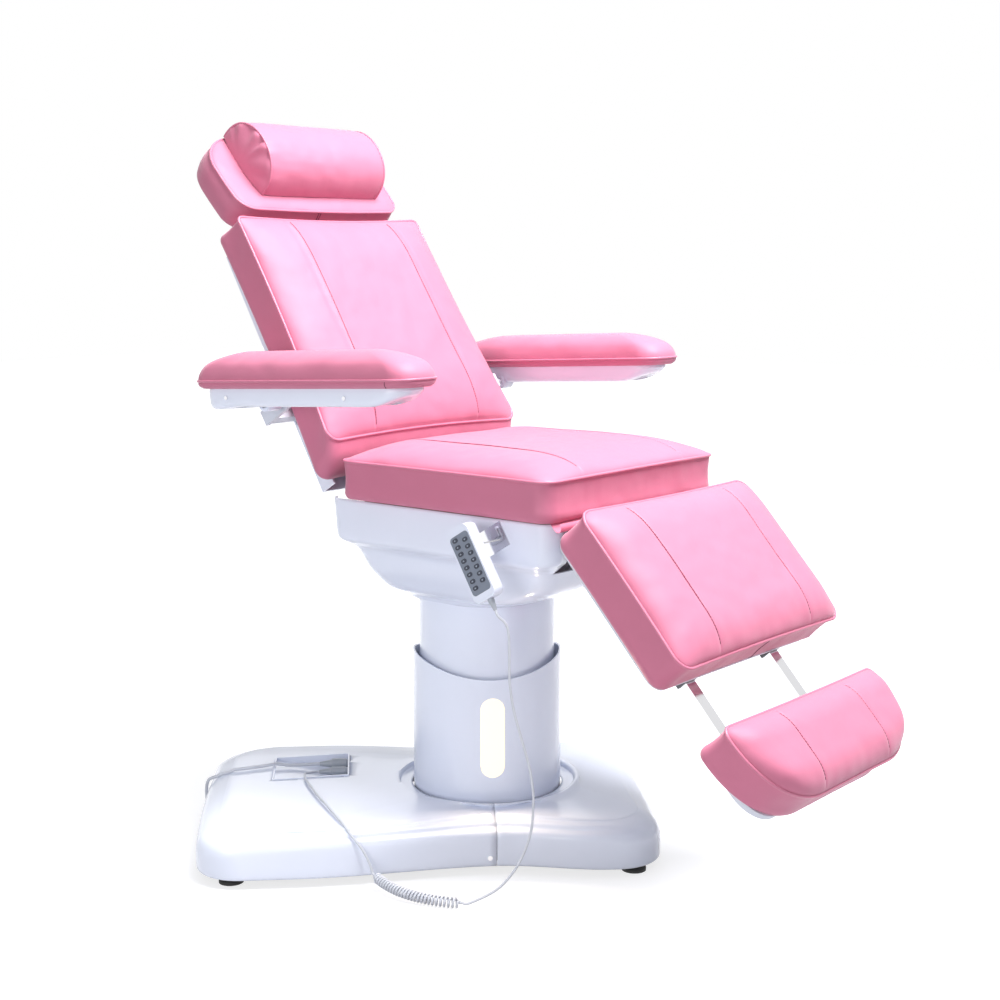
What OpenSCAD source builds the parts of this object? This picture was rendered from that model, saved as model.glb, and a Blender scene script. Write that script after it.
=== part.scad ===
// Electric facial treatment bed: a padded chair that swivels on a lift column above a broad base.
// Sizes are in millimetres. X runs to the foot end, Y to the sitter's left and Z up from the floor.

/* [Seat] */
// Width of the seat cushion
seat_w = 580; // [480:5:700]
// Length of the seat cushion
seat_l = 539; // [440:1:600]
// Front edge of the seat cushion ahead of the column axis
seat_front = 384; // [340:2:440]
// Height of the seat cushion's underside
seat_z = 747; // [740:1:900]
// Height of the seat cushion's sewn edge
seat_edge = 77; // [50:1:110]
// Crown of the seat cushion above its edge
seat_crown = 42; // [10:1:50]
// Thickness of the board under the seat
seat_board_t = 18; // [9:1:25]

/* [Backrest] */
// Angle of the backrest above the horizontal
back_angle = 57.5; // [40:0.5:65]
// Width of the backrest at its lower end
back_low_w = 602; // [500:5:700]
// Width of the backrest at its upper end
back_top_w = 556; // [440:5:640]
// Length of the backrest cushion
back_l = 592; // [500:4:700]
// Thickness of the backrest cushion at its sewn edge
back_edge = 79; // [50:1:90]
// Crown of the backrest cushion
back_crown = 26; // [10:1:40]
// Distance of the backrest hinge behind the column axis
back_hinge_back = 170; // [165:1:190]
// Radius of the backrest hinge pins
back_pin_r = 8; // [5:0.5:10]

/* [Leg rest and foot rest] */
// Angle of the leg rest below the horizontal
leg_angle = 48; // [20:1:75]
// Width of the leg cushion
leg_w = 572; // [460:4:680]
// Length of the leg cushion
leg_l = 347; // [300:1:460]
// Thickness of the leg cushion at its sewn edge
leg_edge = 80; // [50:1:100]
// Crown of the leg cushion
leg_crown = 22; // [8:1:36]
// Radius of the leg hinge pins
leg_pin_r = 6; // [4:0.5:7]
// Gap between the leg cushion and the foot cushion
foot_gap = 118; // [95:1:140]
// Width of the foot cushion
foot_w = 552; // [440:4:640]
// Length of the foot cushion along the leg
foot_l = 175; // [140:2:240]
// Width of each foot bar
foot_bar_w = 29; // [20:1:36]
// Thickness of each foot bar
foot_bar_t = 15; // [10:1:18]
// Distance between the middles of the foot bars
foot_bar_span = 300; // [240:2:360]

/* [Headrest] */
// Width of the headrest cushion
head_w = 500; // [400:5:560]
// Height of the headrest cushion
head_h = 222; // [180:2:260]
// Thickness of the headrest cushion
head_t = 72; // [60:1:100]
// Lean of the headrest behind the backrest plane
head_lean = 10; // [0:1:12]
// Radius of the headrest posts
head_post_r = 6; // [5:0.5:8]
// Length of the pillow
pillow_l = 370; // [280:2:420]
// Height of the pillow's flat side
pillow_h = 180; // [130:2:190]
// Depth of the pillow
pillow_t = 88; // [50:1:100]

/* [Armrests] */
// Distance of each armrest's middle from the centre plane
arm_y = 402; // [390:2:450]
// Width of an armrest cushion
arm_w = 116; // [90:2:140]
// Length of an armrest cushion
arm_l = 592; // [480:1:700]
// Rise of the armrest towards its front end
arm_rise = 3; // [0:1:8]
// Height of the armrest pivot along the backrest
arm_pivot_up = 216; // [190:1:250]
// Radius of the armrest pivot pin
arm_pin_r = 8; // [6:0.5:10]

/* [Casing and column] */
// Width of the casing under the seat
casing_w = 516; // [460:2:540]
// Height of the casing's underside
casing_z = 530; // [515:1:545]
// Wall of the casing and covers
wall = 4; // [3:0.5:6]
// Outer radius of the upper column cover
upper_r = 144; // [130:1:148]
// Outer radius of the lower column cover
lower_r = 158; // [156:1:175]
// Height of the lower column cover at its sides
rim_z = 411; // [380:1:420]
// Depth of the scoop in the lower cover's rim
rim_scoop = 37; // [15:1:45]
// Outer width of the outer lift tube
lift_w = 120; // [110:1:140]
// Radius of the swivel kingpin
kingpin_r = 16; // [12:1:20]

/* [Light] */
// Width of the light in the lower column cover
light_w = 50; // [36:1:60]
// Height of the light's lower end
light_z = 168; // [160:1:200]
// Length of the light
light_l = 168; // [120:1:180]

/* [Base] */
// Turn of the base under the chair
base_turn = 44; // [-90:1:90]
// Reach of the base to its long end
base_head = 608; // [590:2:700]
// Reach of the base to its short end
base_foot = 344; // [325:1:420]
// Half width of the base at its ends
base_half = 308; // [300:1:360]
// Half width of the base at its waist
base_waist = 270; // [255:1:290]
// Height of the base's lower edge
base_z = 20; // [16:1:26]
// Height of the base's side wall top
base_wall_z = 80; // [72:1:90]
// Radius of a levelling foot
foot_r = 25; // [18:1:30]

/* [Handset] */
// Length of the handset
handset_l = 150; // [120:1:190]
// Width of the handset
handset_w = 58; // [48:1:68]
// Thickness of the handset
handset_t = 26; // [18:1:28]
// Tilt of the hung handset
handset_tilt = 31; // [0:1:40]

/* [Cords] */
// Diameter of the handset cord
hand_cord_d = 5; // [4:0.2:6]
// Outer diameter of the curly stretch
curl_d = 22; // [16:0.5:24]
// Number of curls
curls = 28; // [12:1:30]
// Diameter of the mains lead
mains_d = 7; // [6:0.2:8]
// Loops in each layer of the mains coil
coil_loops = 3; // [2:1:4]

/* [Hidden] */
$fn = 64;
column_x = -106;
column_y = 70;
seat_gap = 0.3;
rest_gap = 0.1;
pin_gap = 0.05;
slide_gap = 0.5;
seam_gap = 0.2;
seam_shadow = 0.3;

pink = "#ea8fa6";
white = "#f2f2f4";
chrome = "#c9cbd0";
steel = "#6d7076";
black = "#1c1c1e";
grey = "#b9bcc2";

// Heights in the lift column and the chair's steelwork
beam_h = 30;
beam_z = 22;
beam_top = beam_z + beam_h;
spine_w = lift_w;
plate_z = casing_z + 26;
plate_t = 10;
bearing_t = 8;
turn_z = plate_z + plate_t + bearing_t + seat_gap;
turn_t = 10;
rail_z = turn_z + turn_t;
rail_h = 50;
rail_w = 50;
rail_y = 115;
rail_top = rail_z + rail_h;
board_z = seat_z - seat_board_t;
drive_z = (rail_top + board_z) / 2 + 9;
lift_inner_w = lift_w - 20;
lift_wall = 4;
lift_down = 100;
lift_inner_low = beam_top + lift_down + 13;
lift_top = 350;

// Seat and hinges
seat_rear = seat_front - seat_l;
back_hinge_x = -back_hinge_back;
back_hinge_z = seat_z - 7;
leg_hinge_x = seat_front - 13;
leg_hinge_z = seat_z - 19;
casing_top = seat_z - 6;
casing_rear = back_hinge_x - 33;
casing_front = leg_hinge_x - 6;
ear_t = 10;
ear_y = rail_y + rail_w / 2;
boss_r = back_pin_r + 8;
leg_boss_r = leg_pin_r + 6;

// Backrest frame, with the hinge axis as its zero
back_front = 72;
back_rear = back_front - back_edge;
back_low = boss_r + 28;
back_slant = 56;
back_top = back_low + back_l;
back_tube = 35;
back_tube_w = 30;
back_rail_y = ear_y + ear_t + slide_gap;
back_panel_t = 5;
back_arm_reach = 45;
back_arm_swing = 15;
back_drive_y = -40;

// Leg rest frame, with the hinge axis as its zero
leg_board_t = 6;
leg_low = seat_z + seat_edge - leg_hinge_z - leg_edge - 4;
leg_start = seat_front - leg_hinge_x + 2;
leg_end = leg_start + leg_l;
leg_wall = 3;
leg_tube_w = foot_bar_w + 2 * (slide_gap + leg_wall);
leg_tube_h = foot_bar_t + 2 * (slide_gap + leg_wall) + 4;
leg_tube_top = leg_low - leg_board_t;
leg_bar_z = leg_tube_top - leg_tube_h / 2;
leg_rail_y = foot_bar_span / 2;
leg_ear_t = 14;
leg_ear_y = leg_rail_y - leg_tube_w / 2 - slide_gap - leg_ear_t;
leg_arm_reach = 42;
leg_arm_swing = 8;
leg_drive_y = 40;
foot_start = leg_end + foot_gap;
foot_board_t = 12;

// Actuators of the backrest and the leg rest
drive_r = 20;
drive_rod_r = 9;
drive_pin_r = 5;
fork_half = 13;
fork_w = 18;
fork_play = 1.9;
lever_t = 6;
function swing_point(reach, swing) = [-reach * sin(swing), -reach * cos(swing)];
back_pin_at = [back_hinge_x, back_hinge_z] + swing_point(back_arm_reach, back_arm_swing);
leg_pin_at = [leg_hinge_x, leg_hinge_z] + swing_point(leg_arm_reach, leg_arm_swing);

// Headrest, with its zero above the backrest's top end
head_z = back_top + 6;
head_rear = -4;
head_plate_t = 6;
head_post_x = back_rear - back_tube / 2 + 3;
head_post_y = 70;
head_post_low = head_z - 170;

// Armrest, with the pivot as its zero
arm_pivot_fore = 34;
arm_seam = 34;
arm_rear = -143;
arm_tray_h = 36;
arm_boss_r = arm_pin_r + 8;
arm_inner = -arm_w / 2 + 10;
arm_boss_l = 36;
arm_plate_t = 10;
arm_plate_y = arm_y - arm_w / 2 - 6;

// Base outline and deck
base_corner = 85;
base_bulge = 12;
hole_r = lower_r + 3;
deck_z = base_wall_z + 44;
foot_head_x = -531;
foot_foot_x = 280;
foot_y = 258;
foot_bar_r = 20;
stud_r = 5;
stud_gap = 0.1;

// Sockets, with the recess in the deck of the long end
socket_x = -301;
socket_z = 112;
recess_l = 160;
recess_y = 108;
recess_w = 150;
recess_z = deck_z - 26;
recess_shallow = deck_z - 14;
recess_wall = 3;
plug_in = 3;
plug_l = 66;
hand_plug_y = 85;
hand_plug_r = 8;
mains_plug_y = 142;
mains_plug_r = 9;

// Handset, with the middle of its back as its zero
handset_off = 46;
handset_x = 234;
handset_z = seat_z - 82;
handset_r = 14;
panel_w = 50;
panel_l = 120;
panel_t = 1.2;
key_rows = 8;
key_pitch = 14;
key_col = 12;
key_r = 4;
key_len = 5;
key_rise = 1;
mat_t = 1.5;
key_travel = 0.7;
relief_l = 24;

// Forms

function mix(a, b, t) = a + (b - a) * t;
function smooth(t) = let (c = min(1, max(0, t))) c * c * (3 - 2 * c);
function flip(list) = [for (i = [len(list) - 1 : -1 : 0]) list[i]];
function unit(v) = v / norm(v);

// Quarter circle about c from angle a
function corner(c, r, a, n) = [for (i = [0 : n]) c + r * [cos(a + 90 * i / n), sin(a + 90 * i / n)]];

// Points between p and q, drawn in to the left of the way
function between(p, q, n, draw) = let (d = q - p, left = [-d.y, d.x] / norm(d))
    [for (i = [1 : n]) let (t = i / (n + 1)) p + d * t + left * draw * 4 * t * (1 - t)];

// Outline of a pad from x0 to x1, with its widths and corner radii at both ends
function pad_outline(x0, x1, w0, w1, r0, r1, draw, n = 3, m = 3) =
    let (
        a = corner([x1 - r1, r1 - w0 / 2], r1, -90, n),
        b = corner([x1 - r1, w0 / 2 - r1], r1, 0, n),
        c = corner([x0 + r0, w0 / 2 - r0], r0, 90, n),
        d = corner([x0 + r0, r0 - w0 / 2], r0, 180, n),
        loop = concat(
            a, between(a[n], b[0], m, draw), b, between(b[n], c[0], m, draw),
            c, between(c[n], d[0], m, draw), d, between(d[n], a[0], m, draw)
        )
    )
    [for (p = loop) [p.x, p.y * mix(1, w1 / w0, (p.x - x0) / (x1 - x0))]];

// Outline drawn in by an inset, at height z
function pad_ring(loop, inset, z, stretch = 1) =
    let (
        xs = [for (p = loop) p.x],
        ys = [for (p = loop) p.y],
        mid = [(min(xs) + max(xs)) / 2, (min(ys) + max(ys)) / 2],
        half = [(max(xs) - min(xs)) / 2, (max(ys) - min(ys)) / 2]
    )
    [for (p = loop) [
        mid.x + (p.x - mid.x) * (1 - inset * stretch / half.x),
        mid.y + (p.y - mid.y) * (1 - inset / half.y),
        z
    ]];

// Solid through a stack of rings with the same number of points
module loft(rings) {
    n = len(rings[0]);
    m = len(rings);
    polyhedron(
        points = [for (ring = rings) each ring],
        faces = concat(
            [[for (i = [0 : n - 1]) i]],
            [for (j = [0 : m - 2], i = [0 : n - 1])
                let (a = j * n + i, b = j * n + (i + 1) % n, c = b + n, d = a + n)
                each [[a, d, c], [a, c, b]]],
            [[for (i = [n - 1 : -1 : 0]) (m - 1) * n + i]]
        )
    );
}

// Crowned cushion with a flat underside, sides drawn in between two sewn edges, and a domed top
crown_steps = [[0.025, 0.26], [0.1, 0.56], [0.26, 0.85], [0.55, 1]];
module cushion(loop, low, edge, crown, tuck, waist, reach) {
    loft(concat(
        [
            pad_ring(loop, tuck, low),
            pad_ring(loop, 0, low + edge * 0.12),
            pad_ring(loop, waist, low + edge * 0.55),
            pad_ring(loop, 0, low + edge)
        ],
        [for (s = crown_steps) pad_ring(loop, s[0] * reach, low + edge + crown * s[1])]
    ));
}

// Directions across a path, carried along it without twist
function heading(path, i) = unit(path[min(i + 1, len(path) - 1)] - path[max(i - 1, 0)]);
function across(v, t) = unit(v - (v * t) * t);
function tube_rings(path, r, sides) =
    let (
        first = heading(path, 0),
        start = across(abs(first.z) < 0.9 ? [0, 0, 1] : [1, 0, 0], first),
        sideways = [
            for (i = 0, v = start; i < len(path); i = i + 1, v = i < len(path) ? across(v, heading(path, i)) : v) v
        ]
    )
    [for (i = [0 : len(path) - 1])
        let (v = sideways[i], w = cross(heading(path, i), v))
        [for (k = [0 : sides - 1]) path[i] + r * (v * cos(360 * k / sides) + w * sin(360 * k / sides))]];
module tube(path, d, sides) loft(tube_rings(path, d / 2, sides));

// Smallest gap between stretches of a tube that are at least skip points apart
function self_gap(path, d, skip) = min([
    for (i = [0 : len(path) - 1 - skip], j = [i + skip : len(path) - 1]) norm(path[i] - path[j])
]) - d;

// Rounded flat shape, from circles and squares
module rounded(x0, x1, y0, y1, r) {
    translate([x0 + r, y0]) square([x1 - x0 - 2 * r, y1 - y0]);
    translate([x0, y0 + r]) square([x1 - x0, y1 - y0 - 2 * r]);
    for (x = [x0 + r, x1 - r], y = [y0 + r, y1 - r]) translate([x, y]) circle(r);
}
module bar(x, y, z) translate([x[0], y[0], z[0]]) cube([x[1] - x[0], y[1] - y[0], z[1] - z[0]]);
module ring(r_out, r_in, z0, z1) translate([0, 0, z0]) difference() {
    cylinder(r = r_out, h = z1 - z0);
    translate([0, 0, -1]) cylinder(r = r_in, h = z1 - z0 + 2);
}
module square_tube(w, t, z0, z1) translate([0, 0, z0]) linear_extrude(z1 - z0) difference() {
    square(w, center = true);
    square(w - 2 * t, center = true);
}
// Round bar along Y from y0 to y1 at a place in the XZ plane
module cross_rod(x, z, r, y0, y1) translate([x, y0, z]) rotate([-90, 0, 0]) cylinder(r = r, h = y1 - y0);
// Plate in the XZ plane from y0 to y1
module side_plate(y0, y1) translate([0, y1, 0]) rotate([90, 0, 0]) linear_extrude(y1 - y0) children();
module both_sides() {
    children();
    mirror([0, 1, 0]) children();
}

// Places

module placed() translate([column_x, column_y, 0]) children();
module on_base() rotate([0, 0, base_turn]) children();
module on_back() translate([back_hinge_x, 0, back_hinge_z]) rotate([0, back_angle - 90, 0]) children();
module standing() rotate(180, [1, 0, 1]) children();
module on_head() on_back() translate([0, 0, head_z]) rotate([0, -head_lean, 0]) children();
module on_leg() translate([leg_hinge_x, 0, leg_hinge_z]) rotate([0, leg_angle, 0]) children();
module on_left_arm() on_back() translate([arm_pivot_fore, arm_y, arm_pivot_up])
    rotate([0, 90 - back_angle - arm_rise, 0]) children();
module on_arm(left) mirror([0, left ? 0 : 1, 0]) on_left_arm() children();
module on_handset() translate([handset_x, -casing_w / 2 - handset_off, handset_z])
    rotate([0, -handset_tilt, 0]) children();
module at_feet() for (x = [foot_head_x, foot_foot_x], y = [-foot_y, foot_y]) translate([x, y, 0]) children();

// Base

screw_r = 2.5;
screw_x = -14;
screw_z = 38;
screw_head_r = 5;
arm_end = base_waist - wall - 0.5;

module base_frame() color(steel) on_base() difference() {
    union() {
        bar([foot_head_x, foot_foot_x], [-spine_w / 2, spine_w / 2], [beam_z, beam_top]);
        for (x = [foot_head_x, foot_foot_x])
            bar([x - foot_bar_r, x + foot_bar_r], [-foot_y, foot_y], [beam_z, beam_top]);
        at_feet() translate([0, 0, beam_z]) cylinder(r = foot_bar_r, h = beam_h);
        bar([-30, 30], [-arm_end, arm_end], [beam_z + 8, beam_top - 6]);
    }
    at_feet() translate([0, 0, beam_z - 1]) cylinder(r = stud_r + stud_gap, h = beam_h + 2);
    both_sides() cross_rod(screw_x, screw_z, screw_r + stud_gap, arm_end - 14, arm_end + 1);
}

module levelling_feet() color(black) on_base() at_feet() {
    rotate_extrude() polygon([[0, 0], [foot_r, 0], [foot_r, 6], [foot_r - 6, 14], [8, 18], [0, 18]]);
    cylinder(r = stud_r, h = beam_top + 6);
}

// Half width of the base at a distance from its waist
function base_lobe(s, reach) = mix(base_waist, base_half, smooth(s / reach));
// Outline of one end of the base, from the near side round to the far side
function base_end(length, reach) =
    let (
        l = length - base_bulge,
        flat = base_half - base_corner,
        near = [for (i = [0 : 6]) let (s = (l - base_corner) * i / 6) [s, -base_lobe(s, reach)]],
        turn = corner([l - base_corner, -flat], base_corner, -90, 5),
        end = [for (i = [1 : 3]) [l, -flat * (1 - i / 3)]],
        half = concat(near, [for (i = [1 : 5]) turn[i]], end),
        bulged = [for (p = half) [p.x + base_bulge * (1 - pow(p.y / base_half, 2)) * smooth(p.x / l), p.y]]
    )
    concat(bulged, [for (i = [len(bulged) - 2 : -1 : 0]) [bulged[i].x, -bulged[i].y]]);

// Stations of the deck's skin: distance in from the wall, or out from the column opening, and height
deck_steps = [[0, 12], [0, base_wall_z - base_z], [6, base_wall_z - base_z + 9], [20, base_wall_z - base_z + 13],
    [27, base_wall_z - base_z + 20], [46, base_wall_z - base_z + 24], [58, base_wall_z - base_z + 30]];
deck_mid = 39;
collar_steps = [[30, 0], [26, -10], [0, -12]];
function deck_loop(p, q) =
    let (
        l = norm(q - p),
        d = (q - p) / l,
        skin = function (in, down) concat(
            [for (s = deck_steps) [s[0] + in, base_z + s[1] - down]],
            [[58 + (l - 58) * 0.45, base_z + base_wall_z - base_z + deck_mid - down]],
            [for (s = collar_steps) [l - s[0] - (s[0] > 0 ? in : 0), deck_z + s[1] - down]]
        ),
        loop = concat([[3, base_z]], skin(0, 0), flip(skin(wall, wall)), [[3 + wall, base_z]])
    )
    [for (s = loop) [p.x + d.x * s[0], p.y + d.y * s[0], s[1]]];
module base_half_cover(length, reach) {
    edge = base_end(length, reach);
    n = len(edge) - 1;
    loft([for (i = [0 : n]) let (a = -90 + 180 * i / n) deck_loop(edge[i], hole_r * [cos(a), sin(a)])]);
}
module screw_holes() both_sides() cross_rod(screw_x, screw_z, screw_r + stud_gap, base_waist - 12, base_waist + 12);
// Recess in the deck, its floor rising away from the sockets, up to a rim at two heights
module recess_block(grow, rim_near, rim_far)
    side_plate(recess_y - recess_w / 2 - grow, recess_y + recess_w / 2 + grow)
    polygon([[socket_x + grow, recess_z - grow], [socket_x + grow, rim_near], [socket_x - recess_l - grow, rim_far],
        [socket_x - recess_l - grow, recess_shallow - grow], [socket_x - 50, recess_z - grow]]);

module base_cover_head() color(white) on_base() difference() {
    translate([-seam_gap / 2, 0, 0]) mirror([1, 0, 0]) base_half_cover(base_head, 400);
    screw_holes();
    recess_block(recess_wall + seat_gap, deck_z + 20, deck_z + 20);
}
module base_cover_foot() color(white) on_base() translate([seam_gap / 2, 0, 0]) base_half_cover(base_foot, 230);
module cover_screws() color(chrome) on_base() both_sides() {
    cross_rod(screw_x, screw_z, screw_r, arm_end - 12, base_waist + 1.4);
    cross_rod(screw_x, screw_z, screw_head_r, base_waist + 1.2, base_waist + 3.6);
}

module socket_panel() color(grey) on_base() difference() {
    recess_block(recess_wall, deck_z - 2, deck_z - 9);
    recess_block(0, deck_z + 20, deck_z + 20);
    for (plug = [[hand_plug_y, hand_plug_r], [mains_plug_y, mains_plug_r]])
        translate([socket_x - 1, plug[0], socket_z]) rotate([0, 90, 0]) cylinder(r = plug[1] + stud_gap, h = 10);
}
module plug_body(y, r, tail_r) on_base() translate([socket_x + plug_in, y, socket_z]) rotate([0, -90, 0])
    rotate_extrude() polygon([
        [0, 0], [r, 0], [r, 6], [r + 2, 8], [r + 2, 38], [r, 40], [tail_r, plug_l], [0, plug_l]]);
module handset_plug() color(grey) plug_body(hand_plug_y, hand_plug_r, hand_cord_d / 2 + 1);
module mains_connector() color(grey) plug_body(mains_plug_y, mains_plug_r, mains_d / 2 + 1);
module control_box() color(black) on_base() bar([-292, -178], [-52, 52], [beam_top, beam_top + 46]);

// Lift column

scoop_r = (pow(lower_r + 6, 2) + rim_scoop * rim_scoop) / (2 * rim_scoop);
module light_shape(w, l, y0, y1) side_plate(y0, y1) {
    translate([-w / 2, light_z + light_w / 2]) square([w, light_l - light_w]);
    for (z = [light_z + light_w / 2, light_z + light_l - light_w / 2]) translate([0, z]) circle(w / 2);
}
module column_cover_lower() color(white) on_base() difference() {
    ring(lower_r, lower_r - wall, beam_top, rim_z);
    cross_rod(0, rim_z - rim_scoop + scoop_r, scoop_r, -lower_r - 1, lower_r + 1);
    light_shape(light_w, light_l, -lower_r - 2, -lower_r / 2);
}
module led_diffuser() color("#fff2cf") on_base() intersection() {
    ring(lower_r + 1, lower_r - wall, beam_top, rim_z);
    light_shape(light_w - 2 * seat_gap, light_l, -lower_r - 2, -lower_r / 2);
}
led_board_w = 28;
led_board_y = -sqrt(pow(lower_r - wall - 0.4, 2) - pow(led_board_w / 2, 2));
module led_board() color("#e8e8d8") on_base()
    bar([-led_board_w / 2, led_board_w / 2], [led_board_y, led_board_y + 1.6],
        [light_z + 15, light_z + light_l - 15]);

pad_t = (lift_w - lift_inner_w) / 2 - lift_wall - seat_gap;
lift_bore_r = 12;
lift_rod_r = 10;
lift_tube_r = 22;
lift_rod_x = -22;
motor_r = 19;
motor_x = 25;
actuator_top = 300;
module lift_outer_tube() color(steel) on_base() square_tube(lift_w, lift_wall, beam_top, lift_top);
module glide_pads() color("#e6e3d8") on_base() for (a = [0 : 90 : 270]) rotate([0, 0, a])
    bar([lift_inner_w / 2 + seat_gap, lift_inner_w / 2 + seat_gap + pad_t], [-30, 30], [lift_top - 60, lift_top]);
module lift_actuator() color(black) on_base() difference() {
    union() {
        bar([lift_rod_x - lift_tube_r, motor_x + motor_r], [-motor_r, motor_r], [beam_top, beam_top + 20]);
        translate([lift_rod_x, 0, beam_top]) cylinder(r = lift_tube_r, h = actuator_top - beam_top);
        translate([motor_x, 0, beam_top]) cylinder(r = motor_r, h = 112);
    }
    translate([lift_rod_x, 0, beam_top + 8]) cylinder(r = lift_bore_r, h = actuator_top);
}
module lift_inner_tube() color(steel) on_base() {
    square_tube(lift_inner_w, lift_wall, lift_inner_low, plate_z);
    translate([0, 0, plate_z]) cylinder(r = upper_r - 24, h = plate_t);
    translate([0, 0, plate_z]) cylinder(r = kingpin_r, h = turn_z + turn_t + 20 - plate_z);
}
module lift_rod() color(chrome) on_base() translate([lift_rod_x, 0, lift_inner_low])
    cylinder(r = lift_rod_r, h = plate_z - lift_inner_low);
module column_cover_upper() color(white) on_base() {
    ring(upper_r, upper_r - wall, 200, plate_z);
    ring(upper_r - wall / 2, upper_r - 36, plate_z - 6, plate_z);
}
module swivel_bearing() color(grey)
    ring(upper_r - 32, kingpin_r + 44, plate_z + plate_t, plate_z + plate_t + bearing_t);
module kingpin_nut() color(chrome) ring(kingpin_r + 12, kingpin_r + pin_gap, rail_z + seat_gap, rail_z + 14);

// Chair frame

rail_rear = casing_rear + 52;
rail_front = casing_front - 95;
post = 30;
module seat_frame() color(steel) {
    difference() {
        translate([0, 0, turn_z]) cylinder(r = upper_r - 28, h = turn_t);
        translate([0, 0, turn_z - 1]) cylinder(r = kingpin_r + pin_gap, h = turn_t + 2);
    }
    for (x = [rail_rear, 20, 150, rail_front - 40])
        bar([x, x + 40], [-rail_y, rail_y], [rail_z + (x > 0 && x < 100 ? 16 : 0), rail_top]);
    both_sides() {
        bar([rail_rear, rail_front], [rail_y - rail_w / 2, rail_y + rail_w / 2], [rail_z, rail_top]);
        for (x = [rail_rear, rail_front - post])
            bar([x, x + post], [rail_y - 15, rail_y + 15], [rail_top - 1, board_z]);
        difference() {
            union() {
                side_plate(ear_y - 1, ear_y + ear_t) polygon([
                    [rail_rear, rail_z + 4], [rail_rear + 45, rail_z + 4], [rail_rear + 45, rail_top + 50],
                    [back_hinge_x + boss_r + 6, back_hinge_z - 6], [back_hinge_x - boss_r + 2, back_hinge_z - 6],
                    [back_hinge_x - 6, back_hinge_z - 48], [rail_rear, rail_top + 12]
                ]);
                cross_rod(back_hinge_x, back_hinge_z, boss_r, ear_y - 1, ear_y + ear_t);
            }
            cross_rod(back_hinge_x, back_hinge_z, back_pin_r + pin_gap, ear_y - 2, ear_y + ear_t + 1);
        }
        difference() {
            union() {
                side_plate(leg_ear_y, leg_ear_y + leg_ear_t) polygon([
                    [rail_front - 45, rail_z + 8], [rail_front - 1, rail_z + 8],
                    [leg_hinge_x + leg_boss_r - 2, leg_hinge_z - 16],
                    [leg_hinge_x + leg_boss_r - 1, leg_hinge_z], [leg_hinge_x - leg_boss_r, leg_hinge_z],
                    [leg_hinge_x - 30, leg_hinge_z - 30], [rail_front - 45, rail_top + 10]
                ]);
                cross_rod(leg_hinge_x, leg_hinge_z, leg_boss_r, leg_ear_y, leg_ear_y + leg_ear_t);
            }
            cross_rod(leg_hinge_x, leg_hinge_z, leg_pin_r + pin_gap, leg_ear_y - 1, leg_ear_y + leg_ear_t + 1);
        }
    }
}
module hinge_pins() color(chrome) both_sides() {
    cross_rod(back_hinge_x, back_hinge_z, back_pin_r, ear_y, back_rail_y + back_tube_w);
    cross_rod(leg_hinge_x, leg_hinge_z, leg_pin_r, leg_ear_y, leg_rail_y + leg_tube_w / 2);
}

// Half outline of the casing from its rear middle to its front middle, on the sitter's right
function casing_half(x0, x1, w, r, back) =
    let (y = -w / 2, a = corner([x0 + r, y + r], r, 180, 5), b = corner([x1 - r, y + r], r, 270, 5))
    concat([[x0, -back], [x0, (y + r) / 2]], a, between(a[5], b[0], 3, 0), b, [[x1, (y + r) / 2], [x1, -back]]);
casing_hole_r = upper_r + 2;
// Levels of the casing: height, rear end, front end, width and corner radius
casing_levels = [
    [casing_z, -casing_hole_r - 4, casing_hole_r + 6, 2 * casing_hole_r + 12, 120],
    [casing_z + 11, -casing_hole_r - 7, casing_front - 195, 2 * casing_hole_r + 28, 110],
    [casing_z + 22, -casing_hole_r - 15, casing_front - 155, casing_w - 160, 76],
    [casing_z + 44, casing_rear + 36, casing_front - 93, casing_w - 131, 56],
    [casing_top - 145, casing_rear + 30, casing_front - 52, casing_w - 104, 46],
    [casing_top - 104, casing_rear + 22, casing_front - 30, casing_w - 64, 38],
    [casing_top - 86, casing_rear + 5, casing_front - 13, casing_w - 10, 34],
    [casing_top - 73, casing_rear, casing_front, casing_w, 32],
    [casing_top, casing_rear - 8, casing_front, casing_w, 32]
];
casing_points = 19;
// Loops of one skin of a casing half, whose edge stands back from the seam
function casing_skin(in, back) = concat(
    [[for (i = [0 : casing_points - 1])
        let (a = 180 + 180 * i / (casing_points - 1))
        [casing_hole_r * cos(a), min(casing_hole_r * sin(a), -back), casing_z + 2 + in]]],
    [for (k = [0 : len(casing_levels) - 1])
        let (v = casing_levels[k], up = k < 2 ? in : k < len(casing_levels) - 1 ? in / 2 : 0)
        [for (p = casing_half(v[1] + in, v[2] - in, v[3] - 2 * in, v[4] - in, back)) [p.x, p.y, v[0] + up]]]
);
module casing_shell(back) {
    loops = concat(casing_skin(0, back), flip(casing_skin(wall, back)));
    translate([0, -seam_gap / 2, 0])
        loft([for (i = [0 : casing_points - 1]) [for (loop = flip(loops)) loop[i]]]);
}
// Openings at both ends of the casing for the hinges
module casing_mouths() {
    bar([casing_rear - 40, casing_rear + 90], [-casing_w / 2 + 24, casing_w / 2 - 24],
        [casing_top - 65, casing_top + 9]);
    bar([casing_front - 60, casing_front + 40], [-205, 205], [casing_top - 103, casing_top + 9]);
}
module casing_right() color(white) difference() {
    casing_shell(0);
    casing_mouths();
}
module casing_left() color(white) difference() {
    mirror([0, 1, 0]) casing_shell(seam_shadow);
    casing_mouths();
}
module seat_board() color("#caa97a") translate([0, 0, board_z]) linear_extrude(seat_board_t)
    rounded(max(seat_rear + 12, back_hinge_x + boss_r + 11), casing_front - 25,
        -casing_w / 2 + 18, casing_w / 2 - 18, 30);
module seat_cushion() color(pink) cushion(
    pad_outline(seat_rear, seat_front, seat_w, seat_w, 38, 38, 4),
    seat_z + rest_gap, seat_edge, seat_crown, 6, 2.5, seat_l / 2);

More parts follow.
